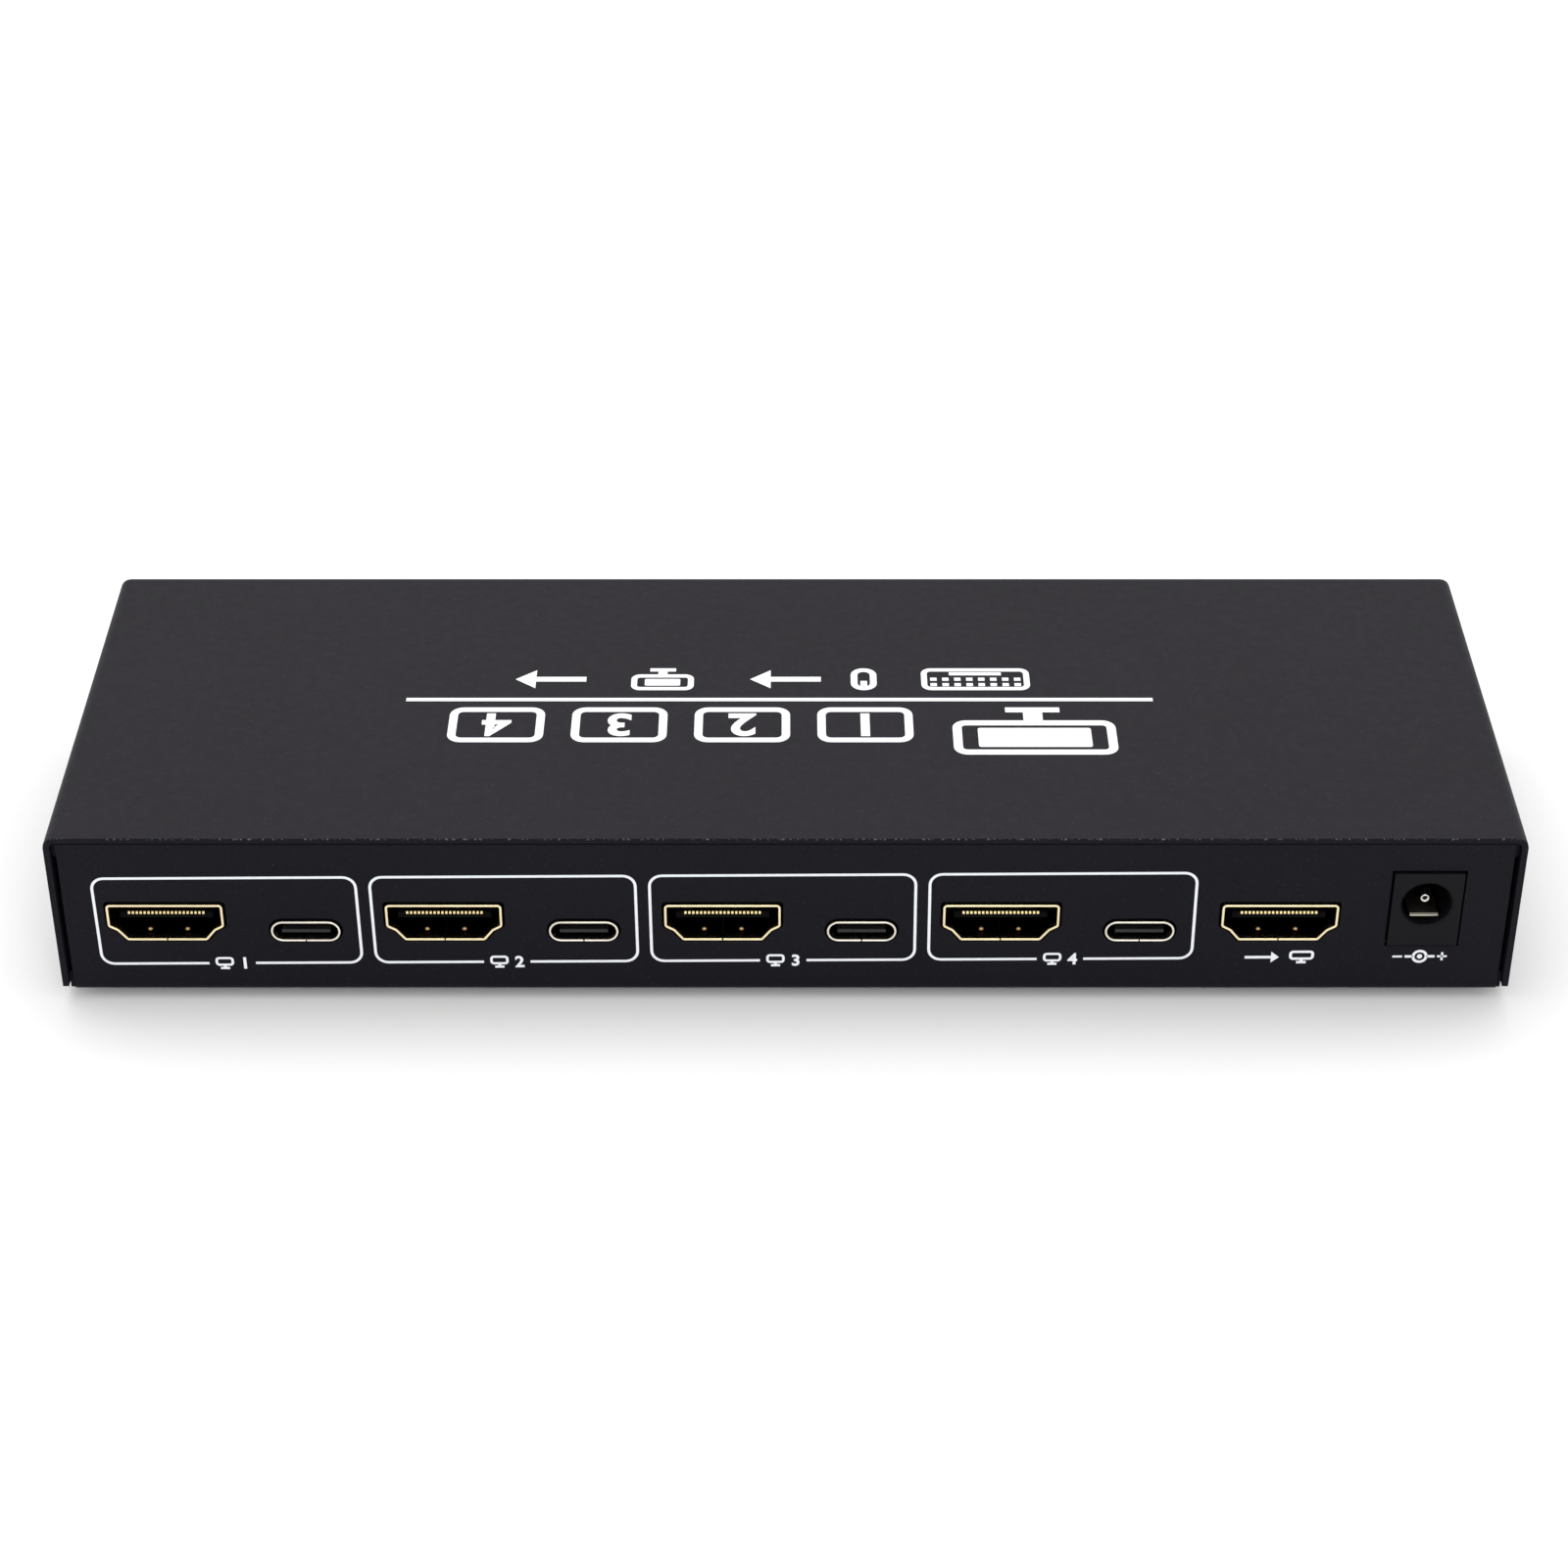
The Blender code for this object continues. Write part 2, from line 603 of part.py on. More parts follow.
def make_board():
    low = (-BOARD_HALF_X, -BOARD_HALF_Y, BOARD_BOTTOM)
    high = (BOARD_HALF_X, BOARD_HALF_Y, BOARD_TOP)
    board = add_part("main_board", box_mesh("main_board", low, high), BOARD_GREEN)
    radius = BOARD_SCREW_SHANK + GAP
    length = BOARD_THICKNESS + 2 * CUT_EXTRA
    for number, (x, y) in enumerate(corners_at(BOARD_HOLE_X, BOARD_HOLE_Y), 1):
        hole = cone_mesh(f"board_hole_{number}", radius, radius, length, segments=16)
        boolean(board, add_tool(hole.name, hole, (x, y, BOARD_BOTTOM - CUT_EXTRA)), "DIFFERENCE")


def make_standoffs():
    """Hexagonal pillars on the tray's floor, and the screws that hold the board on them."""
    bore = BOARD_SCREW_SHANK + GAP
    across_corners = STANDOFF_FLATS / math.cos(math.pi / 6)
    head_top = GAP + BOARD_SCREW_HEAD_HEIGHT
    crown = BOARD_SCREW_HEAD_HEIGHT / 3
    tip = -BOARD_THICKNESS - BOARD_SCREW_REACH
    screw = [
        (0, head_top),
        (BOARD_SCREW_HEAD - crown, head_top),
        (BOARD_SCREW_HEAD, head_top - crown),
        (BOARD_SCREW_HEAD, GAP),
        (BOARD_SCREW_SHANK, GAP),
        (BOARD_SCREW_SHANK, tip + crown),
        (BOARD_SCREW_SHANK - crown, tip),
        (0, tip),
    ]
    for number, (x, y) in enumerate(corners_at(BOARD_HOLE_X, BOARD_HOLE_Y), 1):
        name = f"board_standoff_{number}"
        pillar = cone_mesh(name, across_corners / 2, across_corners / 2, STANDOFF_HEIGHT, segments=6)
        pillar = add_part(name, pillar, BRASS_YELLOW, (x, y, FLOOR_TOP + GAP))
        hole = cone_mesh(name + "_bore", bore, bore, STANDOFF_HEIGHT + 2 * CUT_EXTRA, segments=16)
        hole = add_tool(hole.name, hole, (x, y, FLOOR_TOP + GAP - CUT_EXTRA))
        boolean(pillar, hole, "DIFFERENCE")
        name = f"board_screw_{number}"
        add_part(name, turned_mesh(name, screw), SCREW_STEEL, (x, y, BOARD_TOP))


def video_places():
    """Video sockets 1 to 4 are for the computers, and the last one is for the display."""
    return [(video_x(index), -SOCKET_FACE, VIDEO_Z) for index in range(CHANNELS + 1)]


def type_c_places():
    return [(type_c_x(index), -SOCKET_FACE, TYPE_C_Z) for index in range(CHANNELS)]


def type_a_places():
    return [(type_a_x(index), SOCKET_FACE, TYPE_A_Z) for index in range(TYPE_A_COUNT)]


def make_sockets(kind, places, rotation=(0, 0, 0)):
    """A shell and an insert at each place. The shells are returned."""
    shells = []
    for number, place in enumerate(places, 1):
        shells.append(socket_shell(f"{kind.label}_shell_{number}", kind, place, rotation))
        socket_insert(f"{kind.label}_insert_{number}", kind, place, rotation)
    return shells


def add_video_feet(shell):
    """Solder feet down each side of a video shell to the board."""
    outer = VIDEO_WIDTH / 2
    inner = outer - VIDEO_WALL / 2
    low_z = -VIDEO_HEIGHT / 2 - VIDEO_LIFT + GAP
    high_z = VIDEO_HEIGHT / 2 - VIDEO_SHOULDER / 2
    for side in (-1, 1):
        for step, start in enumerate(VIDEO_FOOT_PLACES):
            ends = sorted((side * inner, side * (outer + VIDEO_FOOT_THICKNESS)))
            low = (ends[0], start, low_z)
            high = (ends[1], start + VIDEO_FOOT_LENGTH, high_z)
            name = f"{shell.name}_foot_{side}_{step}"
            foot = add_tool(name, box_mesh(name, low, high), shell.location)
            boolean(shell, foot, "UNION")


def make_power_jack():
    """The barrel socket: a block with a round bore, its centre pin and the leaf spring below the pin."""
    place = (JACK_X, -SOCKET_FACE, SEAT)
    half = JACK_WIDTH / 2
    face = box_mesh("power_jack_housing", (-half, 0, 0), (half, JACK_FACE_DEPTH, JACK_HEIGHT))
    housing = add_part("power_jack_housing", face, JACK_BLACK, place)
    body_half = JACK_BODY_WIDTH / 2
    body_low = (-body_half, JACK_FACE_DEPTH / 2, 0)
    body_high = (body_half, JACK_DEPTH, JACK_BODY_HEIGHT)
    boolean(housing, add_tool("jack_body", box_mesh("jack_body", body_low, body_high), place), "UNION")
    axis_z = JACK_HEIGHT - JACK_BORE_DROP
    along_y = (-math.pi / 2, 0, 0)
    axis = (JACK_X, -SOCKET_FACE, SEAT + axis_z)
    bore = cone_mesh("jack_bore", JACK_BORE, JACK_BORE, JACK_BORE_DEPTH + CUT_EXTRA, segments=32)
    bore = add_tool("jack_bore", bore, (axis[0], axis[1] - CUT_EXTRA, axis[2]), along_y)
    boolean(housing, bore, "DIFFERENCE")
    tail = JACK_PIN + GAP
    tail_hole = cone_mesh("jack_tail_hole", tail, tail, JACK_DEPTH + CUT_EXTRA, segments=16)
    boolean(housing, add_tool("jack_tail_hole", tail_hole, axis, along_y), "DIFFERENCE")
    slot_half = SPRING_WIDTH / 2 + GAP
    slot_low = (-slot_half, SPRING_START - GAP, axis_z - JACK_BORE - SPRING_SLOT)
    slot_high = (slot_half, SPRING_END + GAP, axis_z)
    slot = add_tool("jack_slot", box_mesh("jack_slot", slot_low, slot_high), place)
    boolean(housing, slot, "DIFFERENCE")
    make_jack_pin(axis)
    make_jack_spring(axis)


def make_jack_pin(axis):
    """A round-ended pin from the bore's mouth through the back of the housing."""
    end = JACK_DEPTH + JACK_PIN_TAIL
    nose = JACK_PIN * 0.5
    profile = [
        (0, end),
        (JACK_PIN, end),
        (JACK_PIN, JACK_PIN_RECESS + nose),
        (JACK_PIN * 0.87, JACK_PIN_RECESS + nose / 2),
        (JACK_PIN * 0.5, JACK_PIN_RECESS),
        (0, JACK_PIN_RECESS),
    ]
    mesh = turned_mesh("power_jack_pin", profile)
    add_part("power_jack_pin", mesh, SHELL_TIN, axis, (-math.pi / 2, 0, 0))


def make_jack_spring(axis):
    """A leaf spring that rises from the front of its slot and dips again at the back."""
    seat = -JACK_BORE - SPRING_SLOT + GAP + SPRING_THICKNESS / 2
    length = SPRING_END - SPRING_START
    bm = bmesh.new()
    rows = []
    for step in range(SPRING_STEPS + 1):
        share = step / SPRING_STEPS
        y = SPRING_START + share * length
        z = seat + SPRING_BOW * math.sin(math.pi * share)
        rows.append([bm.verts.new((side * SPRING_WIDTH / 2, y, z)) for side in (-1, 1)])
    for (a, b), (c, d) in zip(rows, rows[1:]):
        bm.faces.new((a, b, d, c))
    spring = add_part("power_jack_spring", mesh_from("power_jack_spring", bm), SHELL_TIN, axis)
    solidify(spring, SPRING_THICKNESS, offset=0.0)


def make_buttons():
    """Caps that slide towards -Y, each with a collar behind the panel and a stem in its switch."""
    stem_end = -(SWITCH_FRONT + STEM_GRIP)
    chamfer = BUTTON_RADIUS / 10
    profile = [
        (0, BUTTON_PROUD),
        (BUTTON_RADIUS - 2 * chamfer, BUTTON_PROUD),
        (BUTTON_RADIUS - 0.6 * chamfer, BUTTON_PROUD - 0.6 * chamfer),
        (BUTTON_RADIUS, BUTTON_PROUD - 2 * chamfer),
        (BUTTON_RADIUS, -SHEET - GAP),
        (COLLAR_RADIUS, -SHEET - GAP),
        (COLLAR_RADIUS, -COLLAR_BACK),
        (STEM_RADIUS, -COLLAR_BACK),
        (STEM_RADIUS, stem_end),
        (0, stem_end),
    ]
    for index in range(CHANNELS):
        name = f"button_cap_{index + 1}"
        place = (button_x(index), PANEL_FACE, BUTTON_Z)
        add_part(name, turned_mesh(name, profile), BUTTON_BLACK, place, (-math.pi / 2, 0, 0))


def make_switch_bodies():
    half = SWITCH_SIZE / 2
    radius = STEM_RADIUS + GAP
    depth = STEM_GRIP + BUTTON_TRAVEL + GAP
    for index in range(CHANNELS):
        name = f"button_switch_{index + 1}"
        place = (button_x(index), PANEL_FACE - SWITCH_FRONT, BUTTON_Z)
        block = box_mesh(name, (-half, -SWITCH_DEPTH, -half), (half, 0, half))
        body = add_part(name, block, CHIP_BLACK, place)
        bore = cone_mesh(name + "_bore", radius, radius, depth + CUT_EXTRA, segments=16)
        bore = add_tool(bore.name, bore, (place[0], place[1] + CUT_EXTRA, place[2]), (math.pi / 2, 0, 0))
        boolean(body, bore, "DIFFERENCE")


def make_light_pipe():
    """A clear bar behind the +Y panel, with a peg through the panel for each lamp and two legs."""
    last = button_x(CHANNELS - 1) - LIGHT_LEG_OFFSET
    first = button_x(0) + LIGHT_LEG_OFFSET
    face = PANEL_BACK - GAP
    half = LIGHT_BAR_HEIGHT / 2
    low = (last, face - LIGHT_BAR_DEPTH, LAMP_Z - half)
    bar = add_part("light_pipe", box_mesh("light_pipe", low, (first, face, LAMP_Z + half)), LAMP_CLEAR)
    for number, x in enumerate((last, first - LIGHT_LEG_WIDTH), 1):
        leg = box_mesh(
            f"light_leg_{number}",
            (x, face - LIGHT_BAR_DEPTH, SEAT),
            (x + LIGHT_LEG_WIDTH, face, LAMP_Z),
        )
        boolean(bar, add_tool(leg.name, leg), "UNION")
    start = LIGHT_BAR_DEPTH / 2
    for index in range(CHANNELS):
        length = start + GAP + SHEET + COVER_OVERHANG
        peg = cone_mesh(f"light_peg_{index + 1}", LAMP_RADIUS, LAMP_RADIUS, length, segments=16)
        place = (button_x(index), face - start, LAMP_Z)
        boolean(bar, add_tool(peg.name, peg, place, (-math.pi / 2, 0, 0)), "UNION")


def make_chip(name, place, size, height):
    """A square chip on the board, with slightly rounded edges."""
    x, y = place
    half = size / 2
    mesh = box_mesh(name, (-half, -half, 0), (half, half, height))
    chip = add_part(name, mesh, CHIP_BLACK, (x, y, SEAT))
    modifier = chip.modifiers.new("rounded edges", "BEVEL")
    modifier.width = CHIP_EDGE
    modifier.segments = 2
    modifier.limit_method = "ANGLE"


def make_heat_sink():
    """A comb of fins, extruded along Y, that rests on the switch chip."""
    half = HEAT_SINK_SIZE / 2
    pitch = (HEAT_SINK_SIZE - HEAT_SINK_FIN) / (HEAT_SINK_FINS - 1)
    outline = [(-half, 0)]
    for index in range(HEAT_SINK_FINS):
        left = -half + index * pitch
        right = left + HEAT_SINK_FIN
        outline += [(left, HEAT_SINK_BASE), (left, HEAT_SINK_HEIGHT)]
        outline += [(right, HEAT_SINK_HEIGHT), (right, HEAT_SINK_BASE)]
    outline.append((half, 0))
    outline = [point for i, point in enumerate(outline) if point != outline[i - 1]]
    mesh = outline_mesh("heat_sink", outline, HEAT_SINK_SIZE)
    turn_and_move(mesh, 0)
    x, y = SWITCH_CHIP_PLACE
    add_part("heat_sink", mesh, ALUMINIUM, (x, y, SEAT + SWITCH_CHIP_HEIGHT + GAP))


def make_crystal():
    width, depth = CRYSTAL_SIZE
    outline = rounded(rectangle(width, depth), depth / 2 - ROUND_MARGIN, steps=5)
    x, y = CRYSTAL_PLACE
    mesh = outline_mesh("crystal", outline, CRYSTAL_HEIGHT)
    add_part("crystal", mesh, SHELL_TIN, (x, y, SEAT + CRYSTAL_HEIGHT / 2))


def make_capacitor():
    edge = CAPACITOR_RADIUS / 10
    profile = [
        (0, CAPACITOR_HEIGHT),
        (CAPACITOR_RADIUS - edge, CAPACITOR_HEIGHT),
        (CAPACITOR_RADIUS, CAPACITOR_HEIGHT - edge),
        (CAPACITOR_RADIUS, 0),
        (0, 0),
    ]
    x, y = CAPACITOR_PLACE
    add_part("capacitor", turned_mesh("capacitor", profile, steps=20), ALUMINIUM, (x, y, SEAT))


Socket = namedtuple(
    "Socket",
    "label outline depth wall block tongue_width tongue_thickness tongue_top tongue_recess finish",
)
VIDEO_SOCKET = Socket(
    label="video_port",
    outline=video_outline,
    depth=VIDEO_DEPTH,
    wall=VIDEO_WALL,
    block=VIDEO_BLOCK,
    tongue_width=VIDEO_TONGUE_WIDTH,
    tongue_thickness=VIDEO_TONGUE_THICKNESS,
    tongue_top=VIDEO_HEIGHT / 2 - VIDEO_TONGUE_DROP,
    tongue_recess=VIDEO_TONGUE_RECESS,
    finish=SHELL_GOLD,
)
TYPE_C_SOCKET = Socket(
    label="type_c_port",
    outline=type_c_outline,
    depth=TYPE_C_DEPTH,
    wall=TYPE_C_WALL,
    block=TYPE_C_BLOCK,
    tongue_width=TYPE_C_TONGUE_WIDTH,
    tongue_thickness=TYPE_C_TONGUE_THICKNESS,
    tongue_top=TYPE_C_TONGUE_THICKNESS / 2,
    tongue_recess=TYPE_C_TONGUE_RECESS,
    finish=SHELL_NICKEL,
)
TYPE_A_SOCKET = Socket(
    label="type_a_port",
    outline=type_a_outline,
    depth=TYPE_A_DEPTH,
    wall=TYPE_A_WALL,
    block=TYPE_A_BLOCK,
    tongue_width=TYPE_A_TONGUE_WIDTH,
    tongue_thickness=TYPE_A_TONGUE_THICKNESS,
    tongue_top=TYPE_A_HEIGHT / 2 - TYPE_A_WALL - TYPE_A_TONGUE_DROP,
    tongue_recess=TYPE_A_TONGUE_RECESS,
    finish=SHELL_TIN,
)


def main():
    make_tray()
    make_cover()
    make_cover_screws()
    make_feet()
    make_board()
    make_standoffs()
    for shell in make_sockets(VIDEO_SOCKET, video_places()):
        add_video_feet(shell)
    make_sockets(TYPE_C_SOCKET, type_c_places())
    make_sockets(TYPE_A_SOCKET, type_a_places(), rotation=(0, 0, math.pi))
    make_power_jack()
    make_buttons()
    make_switch_bodies()
    make_light_pipe()
    make_chip("switch_chip", SWITCH_CHIP_PLACE, SWITCH_CHIP_SIZE, SWITCH_CHIP_HEIGHT)
    make_chip("hub_chip", HUB_CHIP_PLACE, HUB_CHIP_SIZE, HUB_CHIP_HEIGHT)
    make_heat_sink()
    make_crystal()
    make_capacitor()


clear_scene()
PARTS = new_collection("kvm_switch")
CUTTERS = new_collection("cutters")
main()
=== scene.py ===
"""The looks of a four-channel KVM switch: a black powder-coated steel box with gold video
sockets, nickel type C sockets and a power jack on the -Y side, and push buttons, lamps and
type A sockets on the +Y side. Metres, in the frame of the CAD model.
"""

import math

import bmesh
import bpy
from mathutils import Matrix, Vector


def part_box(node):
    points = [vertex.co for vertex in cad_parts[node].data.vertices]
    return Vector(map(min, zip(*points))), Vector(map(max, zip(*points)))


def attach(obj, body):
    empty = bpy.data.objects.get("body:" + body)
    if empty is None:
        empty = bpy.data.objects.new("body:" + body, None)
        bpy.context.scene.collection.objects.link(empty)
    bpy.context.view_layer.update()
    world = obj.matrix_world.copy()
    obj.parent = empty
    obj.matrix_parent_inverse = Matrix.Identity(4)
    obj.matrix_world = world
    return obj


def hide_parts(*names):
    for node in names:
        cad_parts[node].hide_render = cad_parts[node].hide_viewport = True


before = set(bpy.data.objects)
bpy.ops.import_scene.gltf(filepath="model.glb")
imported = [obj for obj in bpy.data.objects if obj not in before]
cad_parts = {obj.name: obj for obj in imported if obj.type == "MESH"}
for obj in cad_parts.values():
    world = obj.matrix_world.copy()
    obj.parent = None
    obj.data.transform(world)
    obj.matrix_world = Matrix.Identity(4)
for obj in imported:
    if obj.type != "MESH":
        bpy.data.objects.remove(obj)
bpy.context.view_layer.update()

# Places taken from the CAD model
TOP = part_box("top_cover")[1].z
PANEL_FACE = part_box("base_tray")[1].y
CHANNELS = 4
VIDEO_PORTS = CHANNELS + 1
TYPE_A_PORTS = 3

# Case
SHEET = 0.0008
SHEET_EDGE = 0.00012        # rounding of a coated edge
UPRIGHT = 0.9               # share of a face's normal along Y, above which it is a cut edge
# Dark tabs put in the panels' gaps to the cover, where there is only shade: painted shade
TAB_RISE = 0.0032
TAB_SLOPE = 0.7             # height of a tab's outer end, as a share of its rise
TAB_LENGTH = 0.0016
TAB_RECESS = 0.0007         # behind the panel's face
TAB_FOOT = 0.00015          # above the tray's underside
TAB_GAP = 0.00005           # to the cover

# Sockets
RIM_EDGE = 0.0001           # rounding of a socket's rim
SEAM = 0.00018              # where a socket's rolled shell meets itself
INSERT_GAP = 0.0003         # between a shell and the insert in it
TONGUE_NOSE = 0.0002        # chamfer at the tip of a tongue
FINGER_THICKNESS = 0.00018
CONTACT_PITCH = 0.0005
CONTACT_HALF = 0.00014      # half of a contact's width

# Printing
INK = 0.00003               # thickness of the printed ink
PRINT_SKEW = math.radians(0.36)
BOX_LINE = 0.00036
FIGURE_WEIGHT = 0.03        # added to the strokes of a numeral, as a share of its size
FIGURE_EXTRUDE = 0.5        # each way, before the numeral is flattened to the ink's thickness


# ---------------------------------------------------------------- materials

RAMP_ENDS = (0.3, 0.7)      # most of a noise's values lie between these
SPECK_GAIN = 2.6            # how much lighter than the coat its specks are
NICK_REACH = 0.0003         # from the cover's top down
NICK_COLOR = (0.11, 0.107, 0.113)


class Shader:
    """A Principled material and short ways to add to its nodes."""

    def __init__(self, name, **constants):
        self.material = bpy.data.materials.new(name)
        self.material.use_nodes = True
        self.tree = self.material.node_tree
        self.principled = self.tree.nodes["Principled BSDF"]
        sockets = {socket.name.lower(): socket for socket in self.principled.inputs}
        for label, value in constants.items():
            sockets[label.replace("_", " ")].default_value = value
        self.place = self.add("ShaderNodeTexCoord").outputs["Object"]

    def add(self, kind, **settings):
        node = self.tree.nodes.new(kind)
        for label, value in settings.items():
            setattr(node, label, value)
        return node

    def join(self, output, target):
        self.tree.links.new(output, target)

    def feed(self, output, label):
        self.join(output, self.principled.inputs[label])

    def noise(self, scale, detail=2, roughness=0.5, stretch=(1, 1, 1)):
        """Noise whose grains are about 1 / scale metres wide."""
        mapping = self.add("ShaderNodeMapping")
        mapping.inputs["Scale"].default_value = stretch
        self.join(self.place, mapping.inputs["Vector"])
        node = self.add("ShaderNodeTexNoise")
        node.inputs["Scale"].default_value = scale
        node.inputs["Detail"].default_value = detail
        node.inputs["Roughness"].default_value = roughness
        self.join(mapping.outputs["Vector"], node.inputs["Vector"])
        return node.outputs["Fac"]

    def patches(self, noise, color, darker, lighter):
        """The colour, up to those shares darker and lighter after the noise."""
        node = self.add("ShaderNodeValToRGB")
        stops = zip(node.color_ramp.elements, RAMP_ENDS, (1 - darker, 1 + lighter))
        for element, place, factor in stops:
            element.position = place
            element.color = (*(channel * factor for channel in color), 1.0)
        self.join(noise, node.inputs["Fac"])
        return node.outputs["Color"]

    def range(self, value, low=0.0, high=1.0, start=0.0, end=1.0):
        """The value, with start to end mapped to low to high."""
        node = self.add("ShaderNodeMapRange")
        node.inputs["From Min"].default_value = start
        node.inputs["From Max"].default_value = end
        node.inputs["To Min"].default_value = low
        node.inputs["To Max"].default_value = high
        self.join(value, node.inputs["Value"])
        return node.outputs["Result"]

    def multiply(self, first, second):
        node = self.add("ShaderNodeMath", operation="MULTIPLY")
        self.join(first, node.inputs[0])
        self.join(second, node.inputs[1])
        return node.outputs["Value"]

    def mix(self, factor, base, color):
        """The base where the factor is 0, and the colour where it is 1."""
        node = self.add("ShaderNodeMix", data_type="RGBA")
        colors = {socket.name: socket for socket in node.inputs if socket.type == "RGBA"}
        self.join(factor, node.inputs["Factor"])
        self.join(base, colors["A"])
        colors["B"].default_value = (*color, 1.0)
        return [socket for socket in node.outputs if socket.type == "RGBA"][0]

    def axis(self, label):
        node = self.add("ShaderNodeSeparateXYZ")
        self.join(self.place, node.inputs["Vector"])
        return node.outputs[label]

    def bump(self, height, strength, distance):
        node = self.add("ShaderNodeBump")
        node.inputs["Strength"].default_value = strength
        node.inputs["Distance"].default_value = distance
        self.join(height, node.inputs["Height"])
        self.feed(node.outputs["Normal"], "Normal")

    def mottle(self, color, amount, scale):
        """The base colour, a little lighter and darker in patches."""
        noise = self.noise(scale, detail=3)
        self.feed(self.patches(noise, color, amount, amount), "Base Color")

    def roughen(self, noise, low, high):
        self.feed(self.range(noise, low, high), "Roughness")


def powder_coat(name, color, specular, grain_depth=0.25):
    """Black powder coat with a fine sand texture. Returns the shader and its base colour."""
    shader = Shader(name, specular_ior_level=specular)
    grain = shader.noise(2400, roughness=0.6)
    shader.bump(grain, grain_depth, distance=0.00004)
    shader.roughen(shader.noise(700), 0.5, 0.64)
    coat = shader.patches(shader.noise(45, detail=4), color, darker=0.08, lighter=0.08)
    speck = shader.range(grain, start=0.62, end=0.72)
    speck_color = [channel * SPECK_GAIN for channel in color]
    specked = shader.mix(speck, coat, speck_color)
    shader.feed(specked, "Base Color")
    return shader, specked


def chipped_coat(name, color, specular):
    """The coat on a cut edge, with small bare nicks along its upper corner."""
    shader, coat = powder_coat(name, color, specular)
    upper = shader.range(shader.axis("Z"), start=TOP - NICK_REACH, end=TOP - NICK_REACH / 3)
    grain = shader.noise(2200, detail=3, roughness=0.7, stretch=(1, 0.4, 0.4))
    chips = shader.range(grain, start=0.54, end=0.62)
    shader.feed(shader.mix(shader.multiply(chips, upper), coat, NICK_COLOR), "Base Color")
    return shader.material


def plated(name, color, roughness, painted_shade_color, shade_span):
    """Plated sheet with faint rolling marks. It darkens over the given range inward from y = 0:
    painted shade.
    """
    shader = Shader(name, metallic=1.0)
    marks = shader.noise(900, detail=3, roughness=0.6, stretch=(0.15, 1, 1))
    shader.roughen(marks, roughness * 0.8, roughness * 1.3)
    tone = shader.patches(shader.noise(400), color, darker=0.08, lighter=0.05)
    # Painted shade: the colour turns dark further inside the socket
    inward = shader.range(shader.axis("Y"), start=shade_span[0], end=shade_span[1])
    shader.feed(shader.mix(inward, tone, painted_shade_color), "Base Color")
    shader.bump(marks, strength=0.08, distance=0.00002)
    return shader.material


def moulded(name, color, roughness, specular=0.4, grain=1800):
    """Moulded plastic with a spark-eroded surface."""
    shader = Shader(name, specular_ior_level=specular)
    shader.mottle(color, amount=0.08, scale=120)
    shader.roughen(shader.noise(500), roughness * 0.9, roughness * 1.12)
    shader.bump(shader.noise(grain, detail=3, roughness=0.6), strength=0.12, distance=0.00003)
    return shader.material


def rubber(name):
    shader = Shader(name, specular_ior_level=0.3)
    shader.mottle((0.021, 0.021, 0.022), amount=0.2, scale=200)
    shader.roughen(shader.noise(300), 0.8, 0.95)
    shader.bump(shader.noise(1200, detail=4, roughness=0.7), strength=0.3, distance=0.00006)
    return shader.material


def ink(name, color):
    """Screen-printed white ink, a little thin in places."""
    shader = Shader(name, specular_ior_level=0.35)
    shader.mottle(color, amount=0.04, scale=900)
    shader.roughen(shader.noise(1500), 0.5, 0.65)
    shader.bump(shader.noise(2600), strength=0.12, distance=0.00002)
    return shader.material


def metal(name, color, roughness, scale=500, stretch=(1, 1, 1)):
    shader = Shader(name, metallic=1.0)
    shader.mottle(color, amount=0.06, scale=150)
    marks = shader.noise(scale, detail=3, roughness=0.6, stretch=stretch)
    shader.roughen(marks, roughness * 0.8, roughness * 1.25)
    shader.bump(marks, strength=0.1, distance=0.00002)
    return shader.material


def solder_mask(name):
    """A green board with lighter copper tracks under the mask."""
    shader = Shader(name, specular_ior_level=0.5, coat_weight=0.4, coat_roughness=0.15)
    tracks = shader.add("ShaderNodeTexBrick")
    tracks.inputs["Scale"].default_value = 220
    tracks.inputs["Mortar Size"].default_value = 0.03
    for label, color in (("Color1", (0.008, 0.075, 0.03)), ("Color2", (0.01, 0.085, 0.035))):
        tracks.inputs[label].default_value = (*color, 1)
    tracks.inputs["Mortar"].default_value = (0.03, 0.16, 0.07, 1)
    shader.join(shader.place, tracks.inputs["Vector"])
    shader.feed(tracks.outputs["Color"], "Base Color")
    shader.roughen(shader.noise(400), 0.35, 0.5)
    shader.bump(tracks.outputs["Fac"], strength=0.1, distance=0.00003)
    return shader.material


def lamp_acrylic(name):
    shader = Shader(name, specular_ior_level=0.6, coat_weight=0.5, coat_roughness=0.05)
    shader.mottle((0.5, 0.62, 0.52), amount=0.05, scale=300)
    shader.roughen(shader.noise(600), 0.18, 0.3)
    return shader.material


# The tray's coat is the cover's black coat made darker and less glossy: painted shade on the panels.
# The cover's cut edges take it too.
COVER_COLOR = (0.0074, 0.0056, 0.0096)
SHADED_COAT_COLOR = (0.0047, 0.0044, 0.0074)
COVER_COAT = powder_coat("cover_powder_coat", COVER_COLOR, 0.18, 0.4)[0].material
COVER_SHADED_EDGE = chipped_coat("cover_cut_edge_painted_shade", SHADED_COAT_COLOR, 0.1)
TRAY_SHADED_COAT = powder_coat("tray_powder_coat_painted_shade", SHADED_COAT_COLOR, 0.1)[0].material
